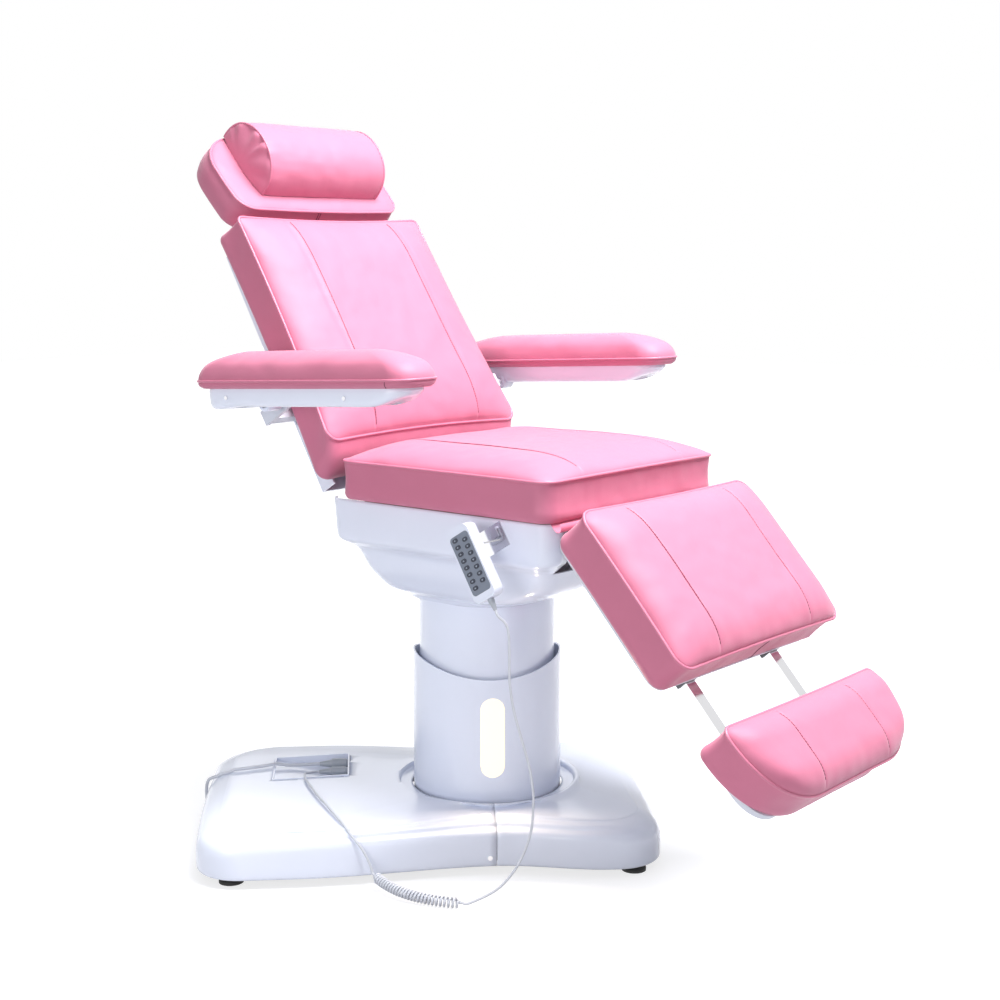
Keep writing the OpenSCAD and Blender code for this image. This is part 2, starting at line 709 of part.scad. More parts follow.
module drive(x0, x1, y, turn) translate([0, y, drive_z]) difference() {
    union() {
        translate([x0, 0, 0]) rotate([0, 90, 0]) cylinder(r = drive_r, h = x1 - x0);
        translate([(x0 + x1) / 2, turn * (drive_r + 17), 0]) rotate([0, 90, 0]) cylinder(r = 17, h = 95);
        bar([(x0 + x1) / 2, (x0 + x1) / 2 + 24],
            [min(0, turn * (drive_r + 17)), max(0, turn * (drive_r + 17))], [-14, 14]);
    }
}
drive_bore_r = drive_rod_r + 1.5;
module drive_bore(x0, x1, y) translate([x0, y, drive_z]) rotate([0, 90, 0]) cylinder(r = drive_bore_r, h = x1 - x0);
module back_actuator() color(black) difference() {
    union() {
        drive(-100, 158, back_drive_y, -1);
        bar([154, 178], [back_drive_y - 12, back_drive_y + 12], [rail_top, drive_z + 12]);
    }
    drive_bore(-101, 120, back_drive_y);
}
module leg_actuator() color(black) difference() {
    union() {
        drive(45, casing_front - 52, leg_drive_y, 1);
        bar([26, 50], [leg_drive_y - 12, leg_drive_y + 12], [rail_top, drive_z + 12]);
    }
    drive_bore(80, casing_front, leg_drive_y);
}
// Sliding rod with a slotted end round a lever pin
module drive_rod(x_end, pin, y, back) translate([0, y, 0]) {
    s = back ? 1 : -1;
    far = pin.x + s * fork_half;
    translate([min(far, x_end), 0, drive_z]) rotate([0, 90, 0]) cylinder(r = drive_rod_r, h = abs(x_end - far));
    difference() {
        bar([pin.x - fork_half, pin.x + fork_half], [-fork_w / 2, fork_w / 2], [pin.y - 15, pin.y + 27]);
        bar([pin.x - drive_pin_r - fork_play, pin.x + drive_pin_r + fork_play], [-fork_w, fork_w],
            [pin.y - drive_pin_r - 3, pin.y + drive_pin_r + 15]);
    }
}
module back_rod() color(chrome) drive_rod(40, back_pin_at, back_drive_y, true);
module leg_rod() color(chrome) drive_rod(160, leg_pin_at, leg_drive_y, false);

// Backrest

lever_gap = fork_w / 2 + 1;
back_lever = swing_point(back_arm_reach, back_arm_swing);
module back_frame() color(steel) on_back() difference() {
    union() {
        both_sides() {
            bar([back_rear - back_tube, back_rear], [back_rail_y, back_rail_y + back_tube_w], [10, back_top - 15]);
            cross_rod(0, 0, boss_r, back_rail_y, back_rail_y + back_tube_w);
            bar([-boss_r, 0], [back_rail_y, back_rail_y + back_tube_w], [0, back_low - 2]);
        }
        for (z = [back_low + 6, (back_low + back_top) / 2, back_top - 60])
            bar([back_rear - back_tube, back_rear], [-back_rail_y - 1, back_rail_y + 1], [z, z + 30]);
        for (s = [-1, 1]) translate([0, back_drive_y + s * (lever_gap + lever_t / 2), 0]) lever_plate();
        translate([0, back_drive_y, 0]) rotate([0, 90 - back_angle, 0])
            cross_rod(back_lever.x, back_lever.y, drive_pin_r, -lever_gap - lever_t, lever_gap + lever_t);
    }
    both_sides() cross_rod(0, 0, back_pin_r + pin_gap, back_rail_y - 1, back_rail_y + back_tube_w + 1);
    for (y = [-head_post_y, head_post_y]) translate([head_post_x, y, back_top - 61])
        cylinder(r = head_post_r + pin_gap, h = 32);
}
module lever_plate() side_plate(-lever_t / 2, lever_t / 2) {
    polygon([[back_rear - back_tube, back_low + 36], [back_rear - 2, back_low + 36], [back_rear - 2, back_low + 6],
        [-20, -18], [-43, -24], [back_rear - back_tube, back_low + 4]]);
    rotate(-(90 - back_angle)) translate(back_lever) circle(drive_pin_r + 5);
}
panel_low = back_low - 4;
panel_top = back_top - 24;
module panel_shape(in, long) polygon([
    [panel_low - long, -back_low_w / 2 + 46 + in], [panel_top + long, -back_top_w / 2 + 46 + in],
    [panel_top + long, back_top_w / 2 - 46 - in], [panel_low - long, back_low_w / 2 - 46 - in]]);
module back_panel() color(white) on_back() standing()
translate([0, 0, back_rear - back_tube - seat_gap - back_panel_t])
difference() {
    linear_extrude(back_panel_t + back_tube) panel_shape(0, 0);
    translate([0, 0, back_panel_t]) linear_extrude(back_tube + 1) panel_shape(wall, 1);
    bar([arm_pivot_up - 20, arm_pivot_up + 20], [-back_low_w, back_low_w], [back_panel_t, back_tube + 20]);
    bar([0, back_low + 60], [-back_drive_y - 30, -back_drive_y + 30], [-1, back_tube + 20]);
}
back_cushion_loop = pad_outline(back_low, back_top, back_low_w, back_top_w, 34, 16, 7);
// Backrest ring with its lower end sloped up towards the front
function sloped_ring(inset, z) = let (share = pow(min(1, (z - back_rear) / back_edge), 2.5)) [
    for (p = pad_ring(back_cushion_loop, inset, z))
        [p.x + back_slant * share * (back_top - p.x) / back_l, p.y, p.z]];
module back_cushion() color(pink) on_back() standing() loft(concat(
    [sloped_ring(6, back_rear), sloped_ring(0, back_rear + back_edge * 0.12),
        sloped_ring(2.5, back_rear + back_edge * 0.5), sloped_ring(1.5, back_rear + back_edge * 0.78),
        sloped_ring(0, back_front)],
    [for (s = crown_steps) sloped_ring(s[0] * back_low_w / 2, back_front + back_crown * s[1])]));
module armrest_brackets() color(steel) on_back() both_sides() {
    bar([back_rear - back_tube + 5, back_rear - 5], [back_rail_y + back_tube_w, arm_plate_y],
        [arm_pivot_up - 13, arm_pivot_up + 13]);
    bar([back_rear - back_tube + 5, arm_pivot_fore + arm_boss_r - 4], [arm_plate_y - arm_plate_t, arm_plate_y],
        [arm_pivot_up - arm_boss_r, arm_pivot_up + arm_boss_r]);
    cross_rod(arm_pivot_fore, arm_pivot_up, arm_pin_r, arm_plate_y - 1, arm_y + arm_inner + arm_boss_l - 2);
}

// Headrest and pillow

head_loop = pad_outline(2, head_h, head_w, head_w, 84, 96, 5);
module headrest_bracket() color(white) {
    on_head() bar([head_rear - head_plate_t, head_rear - rest_gap], [-110, 110], [20, 176]);
    on_back() for (y = [-head_post_y, head_post_y]) translate([head_post_x, y, head_post_low])
        cylinder(r = head_post_r, h = head_z + 60 - head_post_low);
}
module headrest_cushion() color(pink) on_head() standing() loft([
    pad_ring(head_loop, 20, head_rear), pad_ring(head_loop, 5, head_rear + head_t * 0.14),
    pad_ring(head_loop, 0, head_rear + head_t * 0.5), pad_ring(head_loop, 3, head_rear + head_t * 0.8),
    pad_ring(head_loop, 9, head_rear + head_t), pad_ring(head_loop, 15, head_rear + head_t + 4),
    pad_ring(head_loop, 60, head_rear + head_t + 8)]);
pillow_low = 46;
pillow_rear = head_rear + head_t + 8 + seat_gap;
// D-shaped section of the pillow at a share of its full size
function pillow_ring(k, y) = let (mid = pillow_low + pillow_h / 2) concat(
    [for (i = [0 : 12]) let (a = -90 + 180 * i / 12)
        [pillow_rear + k * pillow_t * pow(cos(a), 0.8), mid + k * pillow_h / 2 * sin(a), y]],
    [for (i = [1 : 3]) [pillow_rear + 0.4 * sin(45 * i), mid + k * pillow_h * (0.5 - i / 4), y]]);
pillow_steps = [[0.72, 0], [0.9, 6], [0.99, 22], [1, 60]];
module head_pillow() color(pink) on_head() rotate([90, 0, 0]) loft(concat(
    [for (s = pillow_steps) pillow_ring(s[0], s[1] - pillow_l / 2)],
    [for (s = flip(pillow_steps)) pillow_ring(s[0], pillow_l / 2 - s[1])]));

// Armrests

module arm_tray(left) color(white) on_arm(left) difference() {
    union() {
        translate([0, 0, arm_seam - arm_tray_h]) linear_extrude(arm_tray_h)
            rounded(arm_rear + 22, arm_rear + arm_l - 22, -arm_w / 2 + 10, arm_w / 2 - 10, 44);
        translate([0, 0, arm_seam - arm_tray_h - 8]) linear_extrude(arm_tray_h)
            rounded(arm_rear + 24, arm_rear + 108, -arm_w / 2 + 12, arm_w / 2 - 12, 30);
        cross_rod(0, 0, arm_boss_r, arm_inner, arm_inner + arm_boss_l);
        bar([-arm_boss_r, arm_boss_r], [arm_inner, arm_inner + arm_boss_l], [0, arm_seam - arm_tray_h + 1]);
    }
    cross_rod(0, 0, arm_pin_r + pin_gap, arm_inner - 1, arm_inner + arm_boss_l + 1);
}
arm_steps = [[8, 0, 1], [0, 15, 1], [2.5, 32, 2], [9, 48, 2.4], [21, 60, 2.6], [38, 70, 2.6]];
module arm_cushion(left) color(pink) on_arm(left) let (
    loop = pad_outline(arm_rear, arm_rear + arm_l, arm_w, arm_w, 46, 46, 1)
) loft([for (s = arm_steps) pad_ring(loop, s[0], arm_seam + rest_gap + s[1], s[2])]);
module armrest_tray_right() arm_tray(false);
module armrest_tray_left() arm_tray(true);
module armrest_cushion_right() arm_cushion(false);
module armrest_cushion_left() arm_cushion(true);

// Leg rest and foot rest

leg_bar_x = 72;
leg_lever = swing_point(leg_arm_reach, leg_arm_swing);
module leg_frame() color(steel) on_leg() difference() {
    union() {
        both_sides() {
            bar([8, leg_end - 6], [leg_rail_y - leg_tube_w / 2, leg_rail_y + leg_tube_w / 2],
                [leg_tube_top - leg_tube_h, leg_tube_top]);
            cross_rod(0, 0, leg_boss_r, leg_rail_y - leg_tube_w / 2, leg_rail_y + leg_tube_w / 2);
            bar([0, 12], [leg_rail_y - leg_tube_w / 2, leg_rail_y + leg_tube_w / 2], [-leg_boss_r, leg_tube_top]);
        }
        for (x = [leg_bar_x, leg_end - 60])
            bar([x, x + 30], [-leg_rail_y + leg_tube_w / 2 - 1, leg_rail_y - leg_tube_w / 2 + 1],
                [leg_tube_top - leg_tube_h, leg_tube_top]);
        for (s = [-1, 1]) translate([0, leg_drive_y + s * (lever_gap + lever_t / 2), 0]) leg_lever_plate();
        translate([0, leg_drive_y, 0]) rotate([0, -leg_angle, 0])
            cross_rod(leg_lever.x, leg_lever.y, drive_pin_r, -lever_gap - lever_t, lever_gap + lever_t);
    }
    both_sides() {
        cross_rod(0, 0, leg_pin_r + pin_gap, leg_rail_y - leg_tube_w, leg_rail_y + leg_tube_w);
        bar([60, leg_end], [leg_rail_y - foot_bar_w / 2 - slide_gap, leg_rail_y + foot_bar_w / 2 + slide_gap],
            [leg_bar_z - foot_bar_t / 2 - slide_gap, leg_bar_z + foot_bar_t / 2 + slide_gap]);
    }
}
module leg_lever_plate() side_plate(-lever_t / 2, lever_t / 2) {
    polygon([
        [leg_bar_x + 2, leg_tube_top - 2], [leg_bar_x + 26, leg_tube_top - 2], [leg_bar_x + 26, leg_tube_top - 24],
        [34, -42], [18, -36], [22, -24], [50, leg_tube_top - 12]]);
    rotate(leg_angle) translate(leg_lever) circle(drive_pin_r + 5);
}
module leg_board() color(white) on_leg() translate([0, 0, leg_tube_top]) linear_extrude(leg_board_t)
    rounded(leg_start + 6, leg_end - 6, -leg_w / 2 + 12, leg_w / 2 - 12, 30);
module leg_cushion() color(pink) on_leg() cushion(
    pad_outline(leg_start, leg_end, leg_w, leg_w, 34, 34, 4),
    leg_low + rest_gap, leg_edge, leg_crown, 6, 2.5, leg_l / 2);
foot_bar_in = 170;
foot_top = leg_bar_z + foot_bar_t / 2;
module foot_bars() color(chrome) on_leg() both_sides() bar([leg_end - foot_bar_in, foot_start + foot_l - 40],
    [leg_rail_y - foot_bar_w / 2, leg_rail_y + foot_bar_w / 2], [foot_top - foot_bar_t, foot_top]);
module foot_board() color(white) on_leg() translate([0, 0, foot_top]) linear_extrude(foot_board_t) difference() {
    rounded(foot_start + 8, foot_start + foot_l - 14, -foot_w / 2 + 34, foot_w / 2 - 34, 70);
    translate([foot_start - 20, -foot_w]) square([20 + 8 + 4, 2 * foot_w]);
}
foot_loop = pad_outline(foot_start, foot_start + foot_l, foot_w, foot_w, 22, 150, 2);
module foot_cushion() color(pink) on_leg() cushion(
    foot_loop, foot_top + foot_board_t + rest_gap, 74, 22, 10, 2, foot_l / 2);

// Handset

module facing(y0, y1) side_plate(y0, y1) children();
module key_places() for (c = [0, 1], r = [0 : key_rows - 1 - c])
    translate([(c == 0 ? -1 : 1) * key_col, panel_l / 2 - 8 - key_pitch * (r + 0.5 * c)]) children();
module key_shape(grow) {
    translate([-key_len / 2, -key_r - grow]) square([key_len, 2 * (key_r + grow)]);
    for (x = [-key_len / 2, key_len / 2]) translate([x, 0]) circle(key_r + grow);
}
mat_back = -handset_t + panel_t + 0.2 + mat_t;
module handset_shell() color(white) on_handset() difference() {
    union() {
        facing(-handset_t, 0) rounded(-handset_w / 2, handset_w / 2, -handset_l / 2, handset_l / 2, handset_r);
        bar([-9, 9], [-1, 13], [54, 58]);
        bar([-9, 9], [10, 13], [38, 58]);
    }
    facing(-handset_t - 1, -handset_t + panel_t)
        rounded(-panel_w / 2, panel_w / 2, -panel_l / 2, panel_l / 2, 8);
    facing(-handset_t - 1, mat_back + key_travel + 0.1)
        rounded(-panel_w / 2 + 3, panel_w / 2 - 3, -panel_l / 2 + 3, panel_l / 2 - 3, 5);
}
module handset_overlay() color("#8f98a6") on_handset() difference() {
    facing(-handset_t, -handset_t + panel_t)
        rounded(-panel_w / 2 + 0.2, panel_w / 2 - 0.2, -panel_l / 2 + 0.2, panel_l / 2 - 0.2, 7.8);
    facing(-handset_t - 1, -handset_t + panel_t + 1) key_places() key_shape(0.3);
}
module handset_keys() color("#3c4452") on_handset() {
    facing(mat_back - mat_t, mat_back)
        rounded(-panel_w / 2 + 3.5, panel_w / 2 - 3.5, -panel_l / 2 + 3.5, panel_l / 2 - 3.5, 4.5);
    facing(-handset_t - key_rise, mat_back - mat_t + 0.5) key_places() key_shape(0);
}
module handset_hook() color(chrome) on_handset() {
    bar([-14, 50], [handset_off - 3.3, handset_off - seat_gap], [6, 56]);
    bar([-14, 14], [5, handset_off - 3], [28, 31]);
    bar([-14, 14], [5, 8], [28, 53.7]);
}
relief_y = -handset_t / 2;
module handset_strain_relief() color(grey) on_handset() translate([0, relief_y, -handset_l / 2]) rotate([180, 0, 0])
    rotate_extrude() polygon([[0, 0], [6.5, 0], [6.5, 4], [hand_cord_d / 2 + 0.8, relief_l], [0, relief_l]]);

// Cords

// Where the handset's strain relief ends, and its direction
relief_dir = [sin(handset_tilt), 0, -cos(handset_tilt)];
relief_end = [handset_x, -casing_w / 2 - handset_off + relief_y, handset_z]
    + (handset_l / 2 + relief_l) * relief_dir;
hang_points = [[302, -303, 548], [305, -301, 505], [305, -300, 446], [311, -295, 388], [323, -287, 334],
    [336, -278, 276]];
hang_join = [342, -274, 223];
hang_way = unit([0.06, 0.03, -1]);
drop_points = [[339, -276, 153], [324, -287, 96], [304, -304, 55], [284, -324, 30]];
function turned(p, a) = [p.x * cos(a) - p.y * sin(a), p.x * sin(a) + p.y * cos(a), p.z];
function to_chair(points) = [for (p = points) turned(p, base_turn)];

// Axis of the curly stretch on the floor, in the base's own directions
curl_from = [-84, -432, curl_d / 2 + 0.3];
curl_by = [-200, -404, curl_d / 2 + 0.3];
curl_to = [-243, -326, curl_d / 2 + 16];
function curl_axis(t) = curl_from * (1 - t) * (1 - t) + curl_by * 2 * t * (1 - t) + curl_to * t * t;
function curl_way(t) = unit((curl_by - curl_from) * (1 - t) + (curl_to - curl_by) * t);
curl_steps = curls * 8;
curl_r = (curl_d - hand_cord_d) / 2;
curl_path = concat(
    [curl_from - curl_way(0) * hand_cord_d],
    [for (i = [0 : curl_steps])
        let (
            t = i / curl_steps,
            way = curl_way(t),
            flat = unit(cross(way, [0, 0, 1])),
            r = curl_r * min(1, i / 6, (curl_steps - i) / 6)
        )
        curl_axis(t) + r * (cos(45 * i) * flat + sin(45 * i) * cross(flat, way))],
    [curl_to + curl_way(1) * hand_cord_d]
);
curl_start = turned(curl_path[0], base_turn);
curl_start_way = turned(curl_way(0), base_turn);
tail_points = [[-255, -311, 46], [-264, -307, 66], [-275, -305, 84], [-286, -300, 97], [-296, -288, 106],
    [-303, -276, 113], [-312, -256, 117.5], [-326, -220, 121.5], [-342, -172, 123], [-362, -108, 123],
    [-382, -32, 122.5],
    [-391, 8, 122], [-393, 31, 124], [-391, 54, 119], [-383, 73, 114.5]];
plug_end = socket_x + plug_in - plug_l;
curl_end = curl_path[len(curl_path) - 1];
tail_path = concat([curl_end, curl_end + curl_way(1) * 8], tail_points,
    [[plug_end - 8, hand_plug_y, socket_z], [plug_end, hand_plug_y, socket_z]]);
mains_start = [plug_end, mains_plug_y, socket_z];
coil_mid = [-440, 391];
coil_step = mains_d + 1.8;
coil_out = 52;
coil_in = coil_out - coil_loops * coil_step;
coil_turn = 360 * coil_loops;
coil_lift = mains_d + 1.4;
function coil_radius(a) = a < coil_turn ? coil_out - coil_step * a / 360
    : a < coil_turn + 180 ? coil_in : coil_in + coil_step * (a - coil_turn - 180) / 360;
function coil_point(a) = [coil_mid.x + coil_radius(a) * sin(a), coil_mid.y - coil_radius(a) * cos(a),
    mains_d / 2 + 0.2 + coil_lift * smooth((a - coil_turn) / 180)];
coil_last = 2 * coil_turn + 180;
coil_path = concat([coil_point(0) - [mains_d, 0, 0]], [for (a = [0 : 15 : coil_last]) coil_point(a)],
    [coil_point(coil_last) - [mains_d, 0, 0]]);
mains_points = [
    [-400, 138, 112], [-430, 132, 113.5], [-452, 128, 118], [-464, 125, 120], [-480, 121, 118],
    [-505, 116, 116.5],
    [-530, 111, 115.5], [-548, 109, 114.5], [-558, 108, 111], [-566, 108, 108], [-578, 109, 105.5],
    [-588, 110, 100],
    [-598, 113, 96], [-607, 117, 90.5], [-612, 120, 79], [-614, 125, 62], [-614, 130, 44],
    [-615, 142, 22], [-617, 160, 8], [-617, 186, 4], [-612, 220, 4], [-600, 256, 4], [-577, 290, 4],
    [-546, 317, 4], [-510, 333, 4], [-478, 339, 3.8]];
mains_path = concat([mains_start, mains_start - [8, 0, 0]], mains_points,
    [coil_path[0] - [12, 0, 0], coil_path[0]]);
mains_end = coil_path[len(coil_path) - 1];

module handset_cord_upper() color(grey) tube(concat([relief_end, relief_end + 12 * relief_dir], hang_points,
    [hang_join - 8 * hang_way, hang_join]), hand_cord_d, 8);
module handset_cord_lower() color(grey) tube(concat([hang_join, hang_join + 8 * hang_way], drop_points,
    [curl_start - 12 * curl_start_way, curl_start]), hand_cord_d, 8);
module handset_cord_curl() color(grey) on_base() tube(curl_path, hand_cord_d, 6);
module handset_cord_tail() color(grey) on_base() tube(tail_path, hand_cord_d, 8);
module mains_lead() color(grey) on_base() tube(mains_path, mains_d, 8);
module mains_coil() color(grey) on_base() tube(coil_path, mains_d, 6);
module mains_plug() color(grey) on_base() translate(mains_end) rotate([0, -90, 0]) {
    cylinder(r1 = mains_d / 2 + 1, r2 = 8, h = 26);
    translate([0, 0, 26]) linear_extrude(30) rounded(-10, 10, -13, 13, 7);
    for (y = [-9.5, 9.5]) translate([0, y, 55]) cylinder(r = 2.2, h = 20);
}

union() {
    echo(curl_gap = self_gap(curl_path, hand_cord_d, 5));
    echo(coil_gap = self_gap(coil_path, mains_d, 8));
}

placed() base_frame();
placed() levelling_feet();
placed() base_cover_head();
placed() base_cover_foot();
placed() cover_screws();
placed() socket_panel();
placed() handset_plug();
placed() mains_connector();
placed() control_box();
placed() column_cover_lower();
placed() led_diffuser();
placed() led_board();
placed() lift_outer_tube();
placed() glide_pads();
placed() lift_actuator();
placed() lift_inner_tube();
placed() lift_rod();
placed() column_cover_upper();
placed() swivel_bearing();
placed() kingpin_nut();
placed() seat_frame();
placed() hinge_pins();
placed() casing_right();
placed() casing_left();
placed() seat_board();
placed() seat_cushion();
placed() back_actuator();
placed() leg_actuator();
placed() back_rod();
placed() leg_rod();
placed() back_frame();
placed() back_panel();
placed() back_cushion();
placed() armrest_brackets();
placed() headrest_bracket();
placed() headrest_cushion();
placed() head_pillow();
placed() armrest_tray_right();
placed() armrest_tray_left();
placed() armrest_cushion_right();
placed() armrest_cushion_left();
placed() leg_frame();
placed() leg_board();
placed() leg_cushion();
placed() foot_bars();
placed() foot_board();
placed() foot_cushion();
placed() handset_shell();
placed() handset_overlay();
placed() handset_keys();
placed() handset_hook();
placed() handset_strain_relief();
placed() handset_cord_upper();
placed() handset_cord_lower();
placed() handset_cord_curl();
placed() handset_cord_tail();
placed() mains_lead();
placed() mains_coil();
placed() mains_plug();
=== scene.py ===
"""Looks of a facial treatment bed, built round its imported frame.

Lengths are in metres, in the frame's own axes.
"""

import math
from dataclasses import dataclass

import bmesh
import bpy
from mathutils import Matrix, Vector, noise


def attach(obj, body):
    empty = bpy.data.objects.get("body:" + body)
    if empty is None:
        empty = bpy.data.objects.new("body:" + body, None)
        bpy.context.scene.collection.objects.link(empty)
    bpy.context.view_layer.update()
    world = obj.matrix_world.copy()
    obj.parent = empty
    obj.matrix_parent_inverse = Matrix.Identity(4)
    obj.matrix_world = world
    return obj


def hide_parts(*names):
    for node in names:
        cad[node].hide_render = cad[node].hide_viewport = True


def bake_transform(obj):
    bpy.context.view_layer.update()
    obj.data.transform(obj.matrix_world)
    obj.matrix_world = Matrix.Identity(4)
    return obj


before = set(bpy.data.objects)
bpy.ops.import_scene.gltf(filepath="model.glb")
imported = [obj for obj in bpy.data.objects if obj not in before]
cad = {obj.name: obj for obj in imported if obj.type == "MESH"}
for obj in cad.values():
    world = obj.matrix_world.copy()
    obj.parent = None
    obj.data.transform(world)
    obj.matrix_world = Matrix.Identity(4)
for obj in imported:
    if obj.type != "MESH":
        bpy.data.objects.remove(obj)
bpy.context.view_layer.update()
scene = bpy.context.scene
scene.view_settings.view_transform = "Standard"


# Camera


def make_camera():
    data = bpy.data.cameras.new("camera")
    data.sensor_width = 36
    data.lens = 59.3
    camera = bpy.data.objects.new("camera", data)
    camera.location = (2.094, -2.572, 1.242)
    camera.rotation_euler = (math.radians(81.44), 0, math.radians(39.32))
    scene.collection.objects.link(camera)
    scene.camera = camera


make_camera()


# Places of the moving groups at rest


def shifted(x, y, z):
    return Matrix.Translation((x, y, z))


def turned(degrees, axis="Y"):
    return Matrix.Rotation(math.radians(degrees), 4, axis)


back_angle = 57.5
arm_rise = 3
CHAIR = shifted(-0.106, 0.070, 0)
BASE = CHAIR @ turned(44, "Z")
BACK = CHAIR @ shifted(-0.170, 0, 0.740) @ turned(back_angle - 90)
STANDING = Matrix.Rotation(math.pi, 4, Vector((1, 0, 1)))
HEAD = BACK @ shifted(0, 0, 0.642) @ turned(-10)
LEG = CHAIR @ shifted(0.371, 0, 0.728) @ turned(48)
HANDSET = CHAIR @ shifted(0.234, -0.304, 0.665) @ turned(-31)


def arm_place(side):
    return BACK @ shifted(0.034, side * 0.402, 0.216) @ turned(90 - back_angle - arm_rise)


# Shapes: each is a list of points and a list of faces


def mix(a, b, t):
    return a + (b - a) * t


def smooth(t):
    t = min(1, max(0, t))
    return t * t * (3 - 2 * t)


def between(p, q, r, s, t):
    """Value of a smooth curve at the share t of its way from q to r."""
    slope = (r - p) * t
    bend = (2 * p - 5 * q + 4 * r - s) * t * t
    twist = (3 * q - p - 3 * r + s) * t ** 3
    return 0.5 * (2 * q + slope + bend + twist)


def flowing(points, steps):
    """Points of a smooth curve through the given ones, which may have any number of values each."""
    out = []
    last = len(points) - 1
    for i in range(last):
        before, a, b, after = (points[k] for k in (max(i - 1, 0), i, i + 1, min(i + 2, last)))
        for k in range(steps):
            out.append(tuple(between(*values, k / steps) for values in zip(before, a, b, after)))
    out.append(tuple(points[-1]))
    return out


def loft(rings, caps=(True, True)):
    count = len(rings[0])
    points = [p for ring in rings for p in ring]
    faces = [
        (j * count + i, j * count + (i + 1) % count, (j + 1) * count + (i + 1) % count, (j + 1) * count + i)
        for j in range(len(rings) - 1)
        for i in range(count)
    ]
    if caps[0]:
        faces.append(tuple(range(count - 1, -1, -1)))
    if caps[1]:
        faces.append(tuple(range((len(rings) - 1) * count, len(rings) * count)))
    return points, faces


def sheet_faces(rows, count):
    """Faces of a sheet with the same count of points in each of its rows."""
    return [
        (j * count + i, (j + 1) * count + i, (j + 1) * count + i + 1, j * count + i + 1)
        for j in range(rows - 1)
        for i in range(count - 1)
    ]


def tube(path, radius, sides=8, closed=False):
    path = [Vector(p) for p in path]
    count = len(path)

    def heading(i):
        if closed:
            return (path[(i + 1) % count] - path[i - 1]).normalized()
        return (path[min(i + 1, count - 1)] - path[max(i - 1, 0)]).normalized()

    side = heading(0).orthogonal().normalized()
    rings = []
    for i in range(count):
        way = heading(i)
        side = (side - side.dot(way) * way).normalized()
        other = way.cross(side)
        turns = [2 * math.pi * k / sides for k in range(sides)]
        rings.append([path[i] + radius * (math.cos(a) * side + math.sin(a) * other) for a in turns])
    if not closed:
        return loft(rings)
    points, faces = loft(rings, (False, False))
    first = (count - 1) * sides
    faces += [(first + k, first + (k + 1) % sides, (k + 1) % sides, k) for k in range(sides)]
    return points, faces


def together(shapes):
    points, faces = [], []
    for more_points, more_faces in shapes:
        start = len(points)
        points += more_points
        faces += [tuple(start + i for i in face) for face in more_faces]
    return points, faces


def placed(shape, place):
    return [place @ Vector(p) for p in shape[0]], shape[1]


def piece(name, shape, material, body, sharp=50):
    """A mesh with its faces turned outward, on a body unless that is None."""
    mesh = bpy.data.meshes.new(name)
    mesh.from_pydata([tuple(p) for p in shape[0]], [], shape[1])
    bm = bmesh.new()
    bm.from_mesh(mesh)
    bmesh.ops.recalc_face_normals(bm, faces=bm.faces)
    bm.to_mesh(mesh)
    bm.free()
    for polygon in mesh.polygons:
        polygon.use_smooth = True
    mesh.set_sharp_from_angle(angle=math.radians(sharp))
    mesh.materials.append(material)
    made = bpy.data.objects.new(name, mesh)
    scene.collection.objects.link(made)
    if body:
        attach(made, body)
    return made


def cut_away(shape, low, high):
    """The shape without what lies inside a box, cut cleanly along the box's sides."""
    mesh = bpy.data.meshes.new("cut")
    mesh.from_pydata([tuple(p) for p in shape[0]], [], shape[1])
    bm = bmesh.new()
    bm.from_mesh(mesh)
    reach = 0.03

    def near(face):
        c = face.calc_center_median()
        return all(low[k] - reach < c[k] < high[k] + reach for k in range(3))

    for axis in range(3):
        for level in (low[axis], high[axis]):
            faces = [f for f in bm.faces if near(f)]
            edges = {e for f in faces for e in f.edges}
            verts = {v for f in faces for v in f.verts}
            at = [0, 0, 0]
            at[axis] = level
            way = [0, 0, 0]
            way[axis] = 1
            bmesh.ops.bisect_plane(bm, geom=[*verts, *edges, *faces], plane_co=at, plane_no=way)
    inside = [
        f for f in bm.faces
        if all(low[k] < f.calc_center_median()[k] < high[k] for k in range(3))
    ]
    bmesh.ops.delete(bm, geom=inside, context="FACES")
    bm.verts.index_update()
    cut = [v.co.copy() for v in bm.verts], [tuple(v.index for v in f.verts) for f in bm.faces]
    bm.free()
    bpy.data.meshes.remove(mesh)
    return cut


# Finishes


def effect_group(name, inputs, outputs):
    tree = bpy.data.node_groups.new(name, "ShaderNodeTree")
    for label, value in inputs.items():
        tree.interface.new_socket(label, in_out="INPUT", socket_type="NodeSocketFloat").default_value = value
    for label in outputs:
        tree.interface.new_socket(label, in_out="OUTPUT", socket_type="NodeSocketFloat")
    return tree, tree.nodes.new("NodeGroupInput"), tree.nodes.new("NodeGroupOutput")


def add(tree, kind, **values):
    made = tree.nodes.new(kind)
    for key, value in values.items():
        if key in made.bl_rna.properties:
            setattr(made, key, value)
        else:
            made.inputs[key.replace("_", " ").title()].default_value = value
    return made


relief_strength = 0.5
mottle_scale = 8.0


def bump(tree, height, depth):
    made = add(tree, "ShaderNodeBump", strength=relief_strength, distance=depth)
    tree.links.new(height, made.inputs["Height"])
    return made


def multiply(tree, a, by):
    made = add(tree, "ShaderNodeMath", operation="MULTIPLY")
    tree.links.new(a, made.inputs[0])
    if isinstance(by, (int, float)):
        made.inputs[1].default_value = by
    else:
        tree.links.new(by, made.inputs[1])
    return made.outputs[0]


